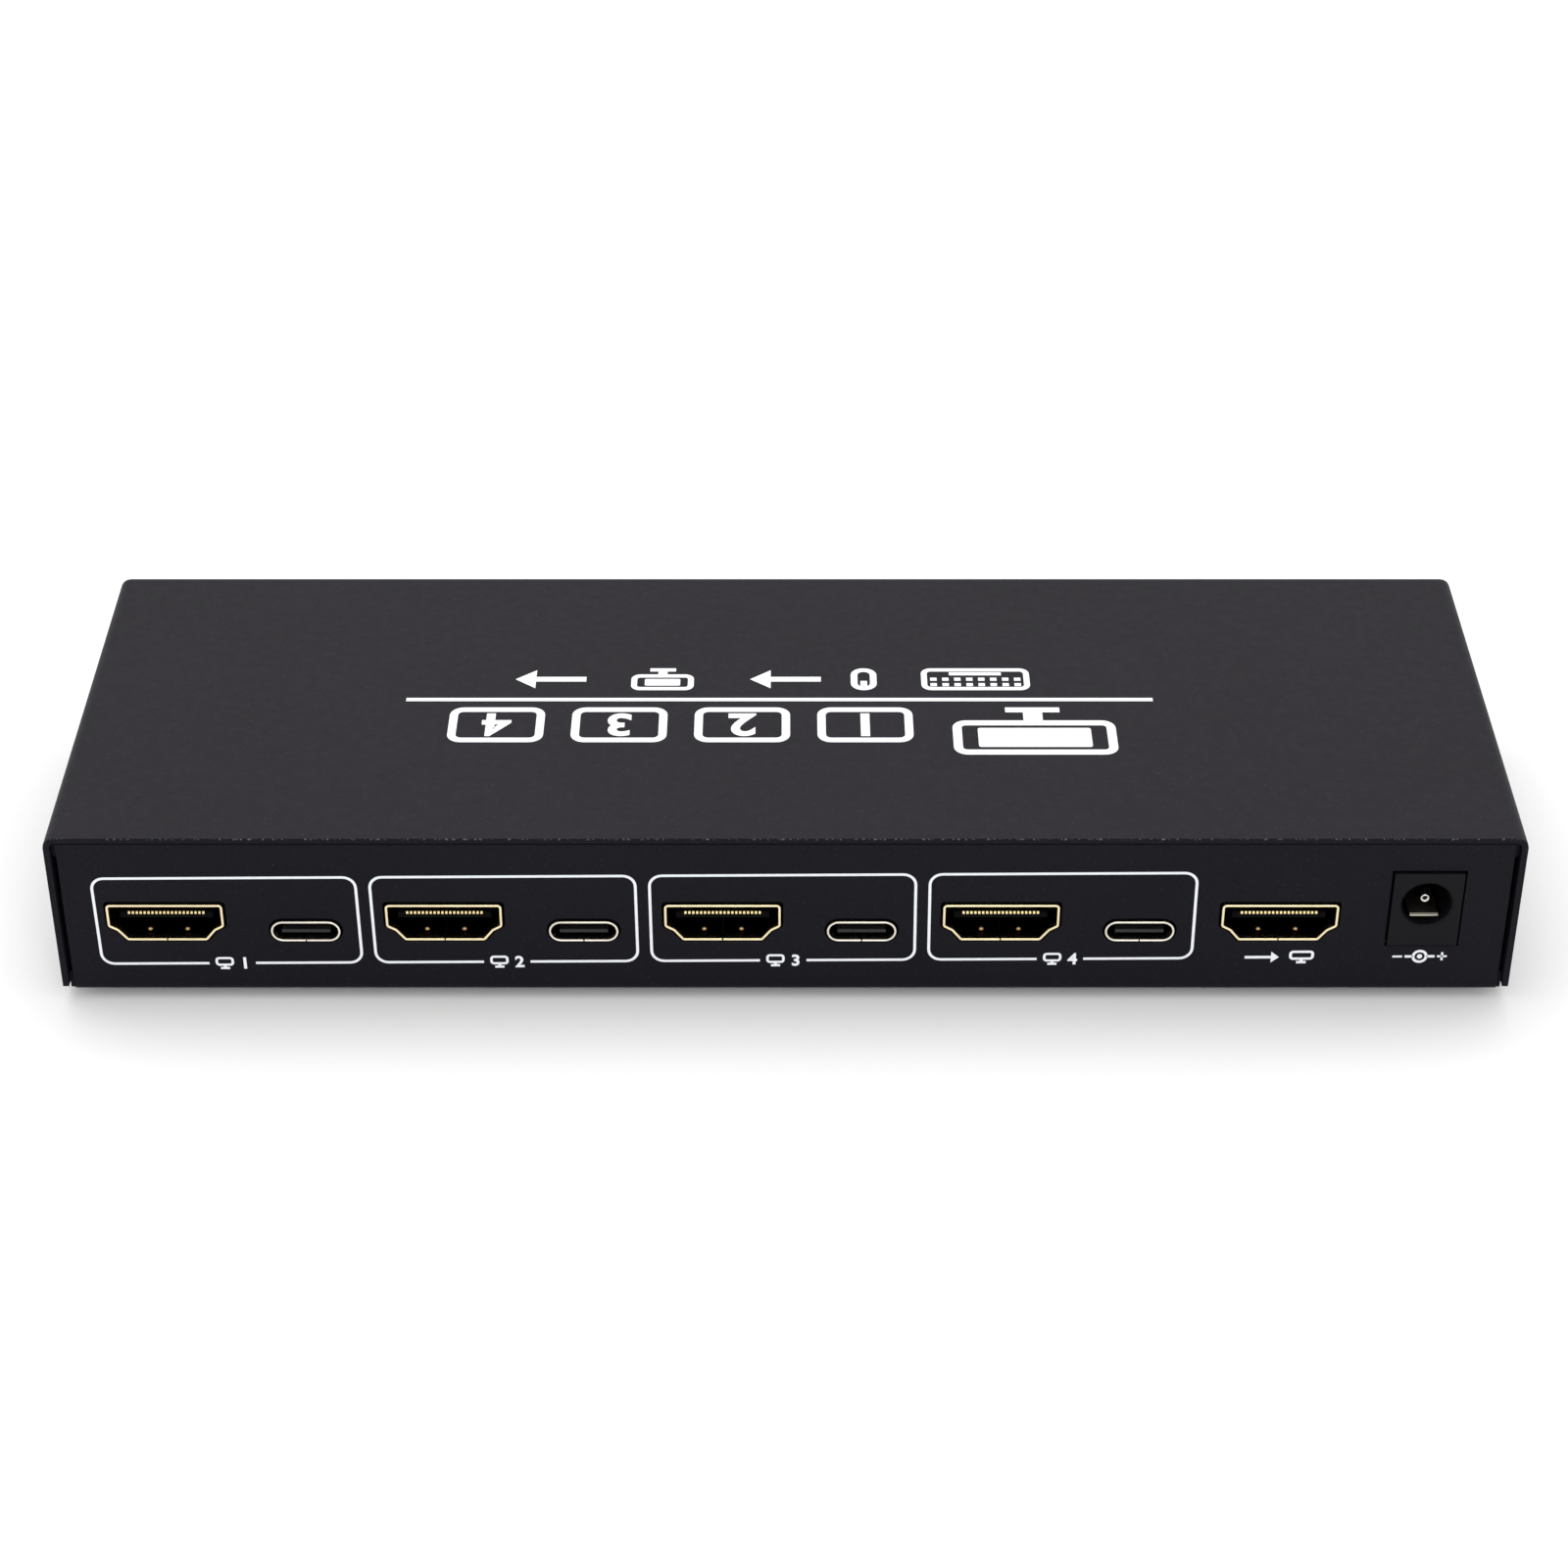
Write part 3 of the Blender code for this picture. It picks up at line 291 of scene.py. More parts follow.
# These plated finishes darken inward from a socket's mouth: painted shade inside the socket
GOLD = plated("gold_flash_shaded_inside", (0.93, 0.79, 0.5), 0.2, (0.035, 0.025, 0.01), (0.0003, 0.0013))
BRONZE = metal("phosphor_bronze", (0.4, 0.26, 0.13), 0.3)
GOLD_CONTACT = metal("gold_contact", (0.95, 0.78, 0.42), 0.25)
NICKEL = plated("nickel_plate_shaded_inside", (0.84, 0.78, 0.68), 0.2, (0.05, 0.045, 0.04), (0.0003, 0.0014))
TIN = plated("tin_plate_shaded_inside", (0.78, 0.78, 0.78), 0.25, (0.25, 0.25, 0.25), (0.001, 0.009))
SPRING_METAL = metal("jack_spring", (0.42, 0.4, 0.34), 0.32)
JACK_METAL = metal("jack_contact", (0.74, 0.72, 0.65), 0.2)
INSERT = moulded("insert_plastic", (0.002, 0.002, 0.0022), 0.5, 0.04)
TYPE_C_PLASTIC = moulded("type_c_plastic", (0.012, 0.012, 0.013), 0.4, 0.3)
JACK_PLASTIC = moulded("jack_plastic", (0.0045, 0.0044, 0.0058), 0.5, 0.1)
BUTTON_PLASTIC = moulded("button_plastic", (0.014, 0.014, 0.015), 0.38, 0.4, 2600)
CHIP_PLASTIC = moulded("chip_compound", (0.018, 0.018, 0.02), 0.6)
SCREW_BLACK = metal("black_oxide", (0.075, 0.075, 0.078), 0.36)
SCREW_STEEL = metal("zinc_plate", (0.62, 0.63, 0.65), 0.32)
BRASS = metal("turned_brass", (0.76, 0.56, 0.24), 0.3, 1500, (1, 1, 6))
ALUMINIUM = metal("extruded_aluminium", (0.78, 0.79, 0.8), 0.35, 900, (1, 0.1, 1))
RUBBER = rubber("foot_rubber")
# One white ink, a lighter copy on the top and a darker one on the panels: painted light and shade
SHADED_PANEL_INK = ink("white_ink", (0.76, 0.78, 0.82))
LIT_TOP_INK = ink("lit_top_white_ink", (0.9, 0.9, 0.92))
BOARD_GREEN = solder_mask("solder_mask")
LAMP = lamp_acrylic("lamp_acrylic")


# ---------------------------------------------------------------- shapes

CORNER_STEPS = 6
ROUND_STEPS = 48
RIM_STEPS = 3
STRIP_STEPS = 10
CENTRE = 0.0002             # radius of the small flat in the middle of a turned face
CUT_EXTRA = 0.0001
WELD = 1e-6
INK_WELD = 1e-5
FLAT = math.radians(0.5)
SHARP = math.radians(32)

# How an outline's (u, v) and the distance w along an axis become x, y and z
PLANES = {
    "X": lambda u, v, w: (w, u, v),
    "Y": lambda u, v, w: (u, w, v),
    "Z": lambda u, v, w: (u, v, w),
}


def outline(corners, radius, growth=0.0, seam=None):
    """A closed shape with rounded corners, counter-clockwise, moved outward by growth.

    With a seam it starts and ends beside a slit of that width in the middle of its last side.
    """
    corners = [Vector(corner) for corner in corners]
    points = []
    for index, corner in enumerate(corners):
        into = (corner - corners[index - 1]).normalized()
        out = (corners[(index + 1) % len(corners)] - corner).normalized()
        turn = math.atan2(into.cross(out), into.dot(out))
        side = math.copysign(1, turn)
        start = Vector((into.y, -into.x))
        end = Vector((out.y, -out.x))
        centre = corner - (start + end) * side * radius / (1 + start.dot(end))
        for step in range(CORNER_STEPS + 1):
            direction = Matrix.Rotation(turn * step / CORNER_STEPS, 2) @ start
            points.append(centre + direction * (side * radius + growth))
    if seam:
        along = (corners[0] - corners[-1]).normalized()
        middle = (corners[0] + corners[-1]) / 2 + Vector((along.y, -along.x)) * growth
        points = [middle + along * seam / 2, *points, middle - along * seam / 2]
    return points


def rectangle(width, height, middle=(0, 0)):
    """Corners, counter-clockwise from the lower right one."""
    x, z = middle
    sides = ((1, -1), (1, 1), (-1, 1), (-1, -1))
    return [(x + i * width / 2, z + j * height / 2) for i, j in sides]


def arc(u, v, radius, start, end, steps=6):
    """Points on an arc about (u, v). The angles are in degrees."""
    angles = [math.radians(start + (end - start) * step / steps) for step in range(steps + 1)]
    return [(u + radius * math.cos(angle), v + radius * math.sin(angle)) for angle in angles]


def rim_section(thickness, depth, edge=RIM_EDGE):
    """The section of a socket's wall, round at its mouth, as (growth, distance inward) pairs."""
    outer = arc(-edge, edge, edge, 0, -90, RIM_STEPS)
    inner = arc(edge - thickness, edge, edge, -90, -180, RIM_STEPS)
    return [(0, depth), *outer, *inner, (-thickness, depth)]


class Form:
    """Closed solids in one mesh. Each has the number of its finish."""

    def __init__(self):
        self.bm = bmesh.new()

    def loft(self, rings, finish=0, around=False):
        """A skin through rings of points. Its two ends are capped, unless it runs around."""
        rows = [[self.bm.verts.new(point) for point in ring] for ring in rings]
        pairs = list(zip(rows, rows[1:]))
        faces = []
        if around:
            pairs.append((rows[-1], rows[0]))
        else:
            faces += [self.bm.faces.new(rows[0]), self.bm.faces.new(rows[-1])]
        for row, following in pairs:
            for index in range(len(row)):
                corners = (row[index - 1], row[index], following[index], following[index - 1])
                faces.append(self.bm.faces.new(corners))
        for face in faces:
            face.material_index = finish

    def prism(self, points, start, end, axis="Y", finish=0):
        place = PLANES[axis]
        self.loft([[place(*point, w) for point in points] for w in (start, end)], finish)

    def box(self, low, high, finish=0):
        (x, y, z), (far_x, far_y, far_z) = low, high
        self.prism(((x, z), (far_x, z), (far_x, far_z), (x, far_z)), y, far_y, "Y", finish)

    def turned(self, profile, axis="Y", middle=(0, 0), finish=0, steps=ROUND_STEPS):
        """profile holds (radius, distance along the axis) pairs."""
        place = PLANES[axis]
        angles = [math.tau * step / steps for step in range(steps)]
        rings = []
        for radius, along in profile:
            circle = [(radius * math.cos(angle), radius * math.sin(angle)) for angle in angles]
            rings.append([place(middle[0] + u, middle[1] + v, along) for u, v in circle])
        self.loft(rings, finish)

    def wall(self, corners, radius, section, seam=None):
        """A wall around an outline in X and Z. section holds (growth, y) pairs."""
        edges = [outline(corners, radius, growth, seam) for growth, _ in section]
        rings = [
            [(edge[index].x, y, edge[index].y) for edge, (_, y) in zip(edges, section)]
            for index in range(len(edges[0]))
        ]
        self.loft(rings, around=seam is None)

    def strip(self, path, width, thickness, middle=0.0):
        """A bent strip. path holds (y, z) points of its middle, and it is centred on x = middle."""
        upper = []
        lower = []
        for index, (y, z) in enumerate(path):
            before = Vector(path[max(index - 1, 0)])
            after = Vector(path[min(index + 1, len(path) - 1)])
            along = (after - before).normalized()
            across = Vector((-along.y, along.x)) * thickness / 2
            upper.append((y + across.x, z + across.y))
            lower.append((y - across.x, z - across.y))
        section = upper + lower[::-1]
        self.prism(section, middle - width / 2, middle + width / 2, "X")

    def figures(self, text, height, middle):
        """Numerals of that height, as ink on y = 0 that faces -Y."""
        curve = bpy.data.curves.new("figures", "FONT")
        curve.body = text
        curve.offset = FIGURE_WEIGHT
        curve.extrude = FIGURE_EXTRUDE
        helper = bpy.data.objects.new("figures", curve)
        bpy.context.scene.collection.objects.link(helper)
        evaluated = helper.evaluated_get(bpy.context.evaluated_depsgraph_get())
        letters = bmesh.new()
        mesh = bpy.data.meshes.new_from_object(evaluated)
        letters.from_mesh(mesh)
        bpy.data.objects.remove(helper)
        bmesh.ops.remove_doubles(letters, verts=letters.verts, dist=INK_WELD)
        xs = [vert.co.x for vert in letters.verts]
        ys = [vert.co.y for vert in letters.verts]
        size = height / (max(ys) - min(ys))
        centre = Vector(((max(xs) + min(xs)) / 2, (max(ys) + min(ys)) / 2))
        for vert in letters.verts:
            x, y, z = vert.co
            depth = (z + FIGURE_EXTRUDE) * INK
            vert.co = (middle[0] + (x - centre.x) * size, -depth, middle[1] + (y - centre.y) * size)
        letters.to_mesh(mesh)
        self.bm.from_mesh(mesh)
        bpy.data.meshes.remove(mesh)

    def mesh(self, name):
        bmesh.ops.recalc_face_normals(self.bm, faces=self.bm.faces)
        made = bpy.data.meshes.new(name)
        self.bm.to_mesh(made)
        made.shade_smooth()
        made.set_sharp_from_angle(angle=SHARP)
        return made


def cut(mesh, cutter):
    """The mesh with the cutter's shape taken out of it."""
    bodies = [bpy.data.objects.new(item.name, item) for item in (mesh, cutter)]
    for body in bodies:
        bpy.context.scene.collection.objects.link(body)
    boolean = bodies[0].modifiers.new("cut", "BOOLEAN")
    boolean.operation = "DIFFERENCE"
    boolean.solver = "EXACT"
    boolean.object = bodies[1]
    evaluated = bodies[0].evaluated_get(bpy.context.evaluated_depsgraph_get())
    made = bpy.data.meshes.new_from_object(evaluated)
    for body in bodies:
        bpy.data.objects.remove(body)
    made.name = mesh.name
    return made


def cad_mesh(node):
    """A CAD node's mesh, welded and with its flat faces merged, ready to have its edges rounded."""
    bm = bmesh.new()
    bm.from_mesh(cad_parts[node].data)
    bmesh.ops.remove_doubles(bm, verts=bm.verts, dist=WELD)
    bmesh.ops.dissolve_limit(bm, angle_limit=FLAT, verts=bm.verts, edges=bm.edges)
    made = bpy.data.meshes.new(node)
    bm.to_mesh(made)
    made.shade_smooth()
    made.set_sharp_from_angle(angle=SHARP)
    return made


def show(name, mesh, finishes, nodes=(), place=None, body="chassis", edge=None):
    """A piece of the object: finishes in the order of the mesh's numbers, and rounded edges."""
    made = bpy.data.objects.new(name, mesh)
    bpy.context.scene.collection.objects.link(made)
    if place:
        made.matrix_world = place
    if not mesh.materials:
        for finish in finishes:
            mesh.materials.append(finish)
    if edge:
        bevel = made.modifiers.new("edge", "BEVEL")
        bevel.width = edge
        bevel.segments = 2
        bevel.limit_method = "ANGLE"
        bevel.angle_limit = SHARP
        bevel.harden_normals = True
    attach(made, body)
    if nodes:
        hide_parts(*nodes)


# Walls of the case: a piece on one is made with its face at y = 0 and its depth along +Y
PORT_SIDE = 0.0
BUTTON_SIDE = math.pi
LEFT_SIDE = -math.pi / 2
RIGHT_SIDE = math.pi / 2


def on_wall(side, place):
    return Matrix.Translation(place) @ Matrix.Rotation(side, 4, "Z")


def middle_of(node):
    low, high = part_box(node)
    return (low + high) / 2


# ---------------------------------------------------------------- case


def make_case():
    cover = cad_mesh("top_cover")
    # The cover's faces towards Y, its cut edges, take the darker coat: painted shade
    for face in cover.polygons:
        if abs(face.normal.y) > UPRIGHT:
            face.material_index = 1
    show("folded_cover", cover, [COVER_COAT, COVER_SHADED_EDGE], ["top_cover"],
         edge=SHEET_EDGE)
    show("folded_tray", cad_mesh("base_tray"), [TRAY_SHADED_COAT], ["base_tray"],
         edge=SHEET_EDGE)

    # Small tabs behind each panel's ends, and a strip along its top. They close its gaps to the
    # cover, so that no light shows through. They are dark sheet put where there is only shade:
    # painted shade.
    low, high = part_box("base_tray")
    cover_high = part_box("top_cover")[1]
    root = high.x - SHEET
    reach = cover_high.x - SHEET - TAB_GAP
    foot = low.z + TAB_FOOT
    head = cover_high.z - SHEET - TAB_GAP
    slope = TAB_RISE * TAB_SLOPE
    lower = [(root, foot), (reach, foot), (reach, foot + slope), (root, foot + TAB_RISE)]
    upper = [(root, head - TAB_RISE), (reach, head - slope), (reach, head - SHEET)]
    upper += [(reach - SHEET, head), (root, head)]
    strip = [(-root, head - SHEET), (root, head - SHEET), (root, head), (-root, head)]
    starts = (low.y + TAB_RECESS, high.y - TAB_RECESS - TAB_LENGTH)
    tabs = Form()
    for side in (-1, 1):
        for section in (lower, upper):
            section = [(side * x, z) for x, z in section]
            for start in starts:
                tabs.prism(section, start, start + TAB_LENGTH)
    for start in starts:
        tabs.prism(strip, start, start + TAB_LENGTH)
    show("painted_shade_tabs", tabs.mesh("painted_shade_tabs"), [TRAY_SHADED_COAT])


def make_feet():
    low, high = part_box("rubber_foot_1")
    radius = (high.x - low.x) / 2
    height = high.z - low.z
    tread = radius - 0.0005
    dish = 0.0003
    rounding = 0.0004
    chamfer = 0.0001
    form = Form()
    profile = [(CENTRE, dish), (tread * 0.5, dish), (tread * 0.56, 0.0)]
    profile += arc(tread - rounding, rounding, rounding, -90, 0)
    profile += [(radius, height - chamfer), (radius - chamfer, height)]
    form.turned(profile, "Z")
    mesh = form.mesh("foot")
    for number in range(1, 5):
        node = f"rubber_foot_{number}"
        place = middle_of(node)
        place.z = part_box(node)[0].z
        show(f"moulded_foot_{number}", mesh, [RUBBER], [node],
             Matrix.Translation(place))


def make_cover_screws():
    low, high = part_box("cover_screw_1")
    head = (high.z - low.z) / 2
    length = high.x - low.x
    shank = 0.0015
    land = 0.00015
    point = 0.0004
    slot_length = 0.0026
    slot_width = 0.0006
    slot_depth = 0.0014
    form = Form()
    profile = [(CENTRE, 0.0), (head - land, 0.0), (head, land), (shank, land + head - shank)]
    profile += [(shank, length - point), (shank - point, length)]
    form.turned(profile)
    mesh = form.mesh("cover_screw")
    for width, height in ((slot_length, slot_width), (slot_width, slot_length)):
        slot = Form()
        mouth = [(x, -CUT_EXTRA, z) for x, z in rectangle(width, height)]
        bottom = [(x, slot_depth, z) for x, z in rectangle(width * 0.55, height * 0.75)]
        slot.loft([mouth, bottom])
        mesh = cut(mesh, slot.mesh("slot"))
    for number in range(1, 5):
        node = f"cover_screw_{number}"
        low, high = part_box(node)
        place = (low + high) / 2
        left = place.x < 0
        place.x = low.x if left else high.x
        show(f"cross_head_screw_{number}", mesh, [SCREW_BLACK], [node],
             on_wall(LEFT_SIDE if left else RIGHT_SIDE, place), edge=0.00005)


# ---------------------------------------------------------------- sockets

VIDEO_WIDTH = 0.0149
VIDEO_HEIGHT = 0.00555
VIDEO_SHOULDER_Z = VIDEO_HEIGHT / 2 - 0.0034
VIDEO_WAIST_X = 0.0063
VIDEO_WAIST_Z = VIDEO_HEIGHT / 2 - 0.00405
VIDEO_FLOOR_X = 0.0051
VIDEO_CORNERS = [
    (VIDEO_FLOOR_X, -VIDEO_HEIGHT / 2),
    (VIDEO_WAIST_X, VIDEO_WAIST_Z),
    (VIDEO_WIDTH / 2, VIDEO_SHOULDER_Z),
    (VIDEO_WIDTH / 2, VIDEO_HEIGHT / 2),
]
VIDEO_CORNERS += [(-x, z) for x, z in reversed(VIDEO_CORNERS)]
VIDEO_CORNER = 0.00055
VIDEO_WALL = 0.00034
VIDEO_DEPTH = 0.0115
VIDEO_FOOT = 0.00075         # below the shell, to the board
TYPE_C_WIDTH = 0.00894
TYPE_C_HEIGHT = 0.0031
TYPE_C_CORNERS = rectangle(TYPE_C_WIDTH, TYPE_C_HEIGHT)
TYPE_C_RADIUS = TYPE_C_HEIGHT / 2 - 0.00001
TYPE_C_WALL = 0.0003
TYPE_C_DEPTH = 0.0075
TYPE_A_WIDTH = 0.0132
TYPE_A_HEIGHT = 0.0057
TYPE_A_CORNERS = rectangle(TYPE_A_WIDTH, TYPE_A_HEIGHT)
TYPE_A_CORNER = 0.0005
TYPE_A_WALL = 0.00035
TYPE_A_DEPTH = 0.014


def spring_finger(form, x, z, start, end, width, rise, up=1):
    """A sprung strip pressed out of a socket's wall at height z. It bows into the socket by rise."""
    path = []
    for step in range(STRIP_STEPS + 1):
        share = step / STRIP_STEPS
        bow = math.sin(math.pi * share ** 0.6)
        path.append((start + (end - start) * share, z + up * rise * (0.25 + 0.75 * bow)))
    form.strip(path, width, FINGER_THICKNESS, x)


def socket_insert(form, corners, radius, clearance, depth, block, tongue):
    """The plastic in a socket: a block at the back, with a tongue given as (low, high) corners."""
    back = [tuple(point) for point in outline(corners, radius, -clearance)]
    form.prism(back, depth - block, depth)
    (x, y, z), (far_x, far_y, far_z) = tongue
    nose = TONGUE_NOSE
    side = [(y, z + nose), (y, far_z - nose), (y + nose, far_z), (far_y, far_z), (far_y, z)]
    side.append((y + nose, z))
    form.prism(side, x, far_x, "X")


def contact_places(count):
    """The places of a row of contacts across a tongue."""
    return [(contact - (count - 1) / 2) * CONTACT_PITCH for contact in range(count)]


def make_video_sockets():
    shell = Form()
    section = rim_section(VIDEO_WALL, VIDEO_DEPTH)
    shell.wall(VIDEO_CORNERS, VIDEO_CORNER, section, seam=SEAM)
    floor = -VIDEO_HEIGHT / 2
    floor_inside = floor + VIDEO_WALL
    finger = {"start": 0.0014, "end": 0.0068, "width": 0.0009, "rise": 0.00025}
    dome_radius = 0.0004
    dome_y = 0.0019
    for x in (-0.0024, 0.0024):
        spring_finger(shell, x, floor_inside, **finger)
        spring_finger(shell, x, -floor_inside, **finger, up=-1)
        dome = arc(0.0, 0.0, dome_radius, 0, 88)
        profile = [(radius, floor_inside + finger["rise"] + height) for radius, height in dome]
        shell.turned(profile, "Z", (x, dome_y), finish=1, steps=20)
    leg_inner = 0.0068
    leg_outer = 0.0073
    leg_half = 0.0008
    leg_top = VIDEO_SHOULDER_Z + 0.0003
    for left, right in ((-leg_outer, -leg_inner), (leg_inner, leg_outer)):
        for y in (0.003, 0.0085):
            low = (left, y - leg_half, floor - VIDEO_FOOT)
            shell.box(low, (right, y + leg_half, leg_top))
    shell_mesh = shell.mesh("video_shell")

    insert = Form()
    tongue_half = 0.00595
    tongue_thickness = 0.001
    tongue_tip = 0.0012
    top = VIDEO_HEIGHT / 2 - 0.0019
    gap = VIDEO_WALL + INSERT_GAP
    back = VIDEO_DEPTH - gap
    tongue = ((-tongue_half, tongue_tip, top - tongue_thickness), (tongue_half, back - 0.001, top))
    socket_insert(insert, VIDEO_CORNERS, VIDEO_CORNER + 0.0002, gap, back, 0.0033, tongue)
    # Each contact hooks over the tongue's tip, from its front to just above its top
    front = tongue_tip - 0.00005
    end = 0.00165
    crown = top + 0.00006
    root = top - 0.00025
    side = [(front, root), (front, top - 0.0001), (0.0013, crown), (end, crown), (end, root)]
    for x in contact_places(20):
        insert.prism(side, x - CONTACT_HALF, x + CONTACT_HALF, "X", finish=1)
    insert_mesh = insert.mesh("video_insert")

    for number in range(1, VIDEO_PORTS + 1):
        node = f"video_port_shell_{number}"
        low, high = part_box(node)
        place = Vector(((low.x + high.x) / 2, low.y, high.z - VIDEO_HEIGHT / 2))
        show(f"video_socket_shell_{number}", shell_mesh, [GOLD, BRONZE], [node],
             on_wall(PORT_SIDE, place))
        show(f"video_socket_insert_{number}", insert_mesh, [INSERT, GOLD_CONTACT],
             [f"video_port_insert_{number}"], on_wall(PORT_SIDE, place))


def make_type_c_sockets():
    shell = Form()
    shell.wall(TYPE_C_CORNERS, TYPE_C_RADIUS, rim_section(TYPE_C_WALL, TYPE_C_DEPTH), seam=SEAM)
    shell_mesh = shell.mesh("type_c_shell")

    insert = Form()
    tongue_half = 0.0031
    half = 0.00026              # of the tongue's thickness
    drop = 0.00025              # of the tongue below the shell's middle
    proud = 0.00004             # of a contact above the tongue
    gap = TYPE_C_WALL + INSERT_GAP
    back = TYPE_C_DEPTH - gap
    tongue = ((-tongue_half, 0.0004, -drop - half), (tongue_half, back - 0.0005, half - drop))
    socket_insert(insert, TYPE_C_CORNERS, TYPE_C_RADIUS, gap, back, 0.0014, tongue)
    for x in contact_places(12):
        low = (x - CONTACT_HALF, 0.0021, -drop - half - proud)
        insert.box(low, (x + CONTACT_HALF, 0.0042, half - drop + proud), finish=1)
    insert_mesh = insert.mesh("type_c_insert")

    for number in range(1, CHANNELS + 1):
        node = f"type_c_port_shell_{number}"
        low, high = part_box(node)
        place = Vector(((low.x + high.x) / 2, low.y, high.z - TYPE_C_HEIGHT / 2))
        show(f"type_c_socket_shell_{number}", shell_mesh, [NICKEL], [node],
             on_wall(PORT_SIDE, place))
        show(f"type_c_socket_insert_{number}", insert_mesh, [TYPE_C_PLASTIC, GOLD_CONTACT],
             [f"type_c_port_insert_{number}"], on_wall(PORT_SIDE, place),
             edge=0.00004)


def make_type_a_sockets():
    shell = Form()
    section = rim_section(TYPE_A_WALL, TYPE_A_DEPTH)
    shell.wall(TYPE_A_CORNERS, TYPE_A_CORNER, section, seam=SEAM)
    floor_inside = TYPE_A_WALL - TYPE_A_HEIGHT / 2
    finger = {"start": 0.0022, "end": 0.0095, "width": 0.0019}
    for x in (-0.0032, 0.0032):
        spring_finger(shell, x, floor_inside, **finger, rise=0.0006)
        spring_finger(shell, x, -floor_inside, **finger, rise=0.0004, up=-1)
    shell_mesh = shell.mesh("type_a_shell")

    insert = Form()
    tongue_half = 0.0053
    contact_half = 0.0005
    top = TYPE_A_HEIGHT / 2 - TYPE_A_WALL - 0.0008
    bottom = top - 0.0018
    gap = TYPE_A_WALL + INSERT_GAP
    back = TYPE_A_DEPTH - gap
    tongue = ((-tongue_half, 0.0015, bottom), (tongue_half, back - 0.001, top))
    socket_insert(insert, TYPE_A_CORNERS, TYPE_A_CORNER + 0.0003, gap, back, 0.0028, tongue)
    for x in (-0.0035, -0.001, 0.001, 0.0035):
        low = (x - contact_half, 0.002, bottom - 0.0001)
        insert.box(low, (x + contact_half, 0.0095, bottom + 0.0003), finish=1)
    insert_mesh = insert.mesh("type_a_insert")

    for number in range(1, TYPE_A_PORTS + 1):
        node = f"type_a_port_shell_{number}"
        low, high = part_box(node)
        place = Vector(((low.x + high.x) / 2, high.y, high.z - TYPE_A_HEIGHT / 2))
        show(f"type_a_socket_shell_{number}", shell_mesh, [TIN], [node],
             on_wall(BUTTON_SIDE, place))
        show(f"type_a_socket_insert_{number}", insert_mesh, [INSERT, GOLD_CONTACT],
             [f"type_a_port_insert_{number}"], on_wall(BUTTON_SIDE, place),
             edge=0.00008)


def make_power_jack():
    low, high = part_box("power_jack_housing")
    pin_low, pin_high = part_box("power_jack_pin")
    middle = (low + high) / 2
    axis = Vector((middle.x, low.y, (pin_low.z + pin_high.z) / 2))
    top = high.z - axis.z
    bottom = low.z - axis.z
    half = (high.x - low.x) / 2
    bore = 0.0032
    bore_depth = 0.0105
    form = Form()
    face = [(half, bottom), (half, top), (-half, top), (-half, bottom)]
    form.prism([tuple(point) for point in outline(face, 0.00015)], 0, high.y - low.y)
    hollow = Form()
    hollow.turned([(bore + 0.00045, -0.0002), (bore, 0.00025), (bore, bore_depth)])
    housing = cut(form.mesh("jack_housing"), hollow.mesh("bore"))
    slot_half = 0.0023
    slot = Form()
    slot.box((-slot_half, 0.0017, -bore - 0.0005), (slot_half, bore_depth, 0.0))
    housing = cut(housing, slot.mesh("spring_slot"))
    show("barrel_jack_housing", housing, [JACK_PLASTIC], ["power_jack_housing"],
         on_wall(PORT_SIDE, axis), edge=0.0001)

    # The pin tapers to a hollow tip. A dark plug sits in it, off its middle: painted shade over
    # the upper part of the tip, so that only a crescent of its ring shows bright.
    pin = Form()
    radius = (pin_high.z - pin_low.z) / 2
    start = pin_low.y - low.y
    nose = 0.00018
    hollow = 0.00028
    core = hollow * 0.2
    tip = 0.00062
    taper = start + 0.0008
    plug_face = start - 0.00002
    profile = [(core, taper), (hollow, taper), (hollow, start + nose / 2)]
    profile += arc(tip - nose, start + nose, nose, -90, 0)
    profile += [(tip + 0.00012, taper), (radius, start + 0.0016), (radius, pin_high.y - low.y)]
    pin.turned(profile)
    # Painted shade: a dark disc over the upper part of the pin's tip
    plug = [(core, plug_face), (hollow, plug_face), (hollow, start + 0.0009)]
    pin.turned(plug, middle=(0, hollow * 0.6), finish=1)
    show("barrel_jack_pin", pin.mesh("jack_pin"), [JACK_METAL, JACK_PLASTIC],
         ["power_jack_pin"], on_wall(PORT_SIDE, axis))

    # The leaf spring turns down at its front end, which shows low in the bore
    spring_low, spring_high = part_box("power_jack_spring")
    spring = Form()
    start = 0.0011
    end = spring_high.y - low.y
    thickness = 0.0003
    lip = -bore * 0.67
    base = spring_low.z - axis.z + thickness / 2
    steps = 16
    path = []
    for step in range(steps + 1):
        share = step / steps
        path.append((start + (end - start) * share, lip + (base - lip) * share ** 2))
    spring_half = 0.00185
    spring.strip(path, spring_half * 2, thickness)
    lip_low = (-spring_half, start - 0.0002, lip - 0.0002)
    spring.box(lip_low, (spring_half, start + 0.0001, lip + 0.0001))
    show("barrel_jack_spring", spring.mesh("jack_spring"), [SPRING_METAL],
         ["power_jack_spring"], on_wall(PORT_SIDE, axis), edge=0.00006)


# ---------------------------------------------------------------- buttons and lamps


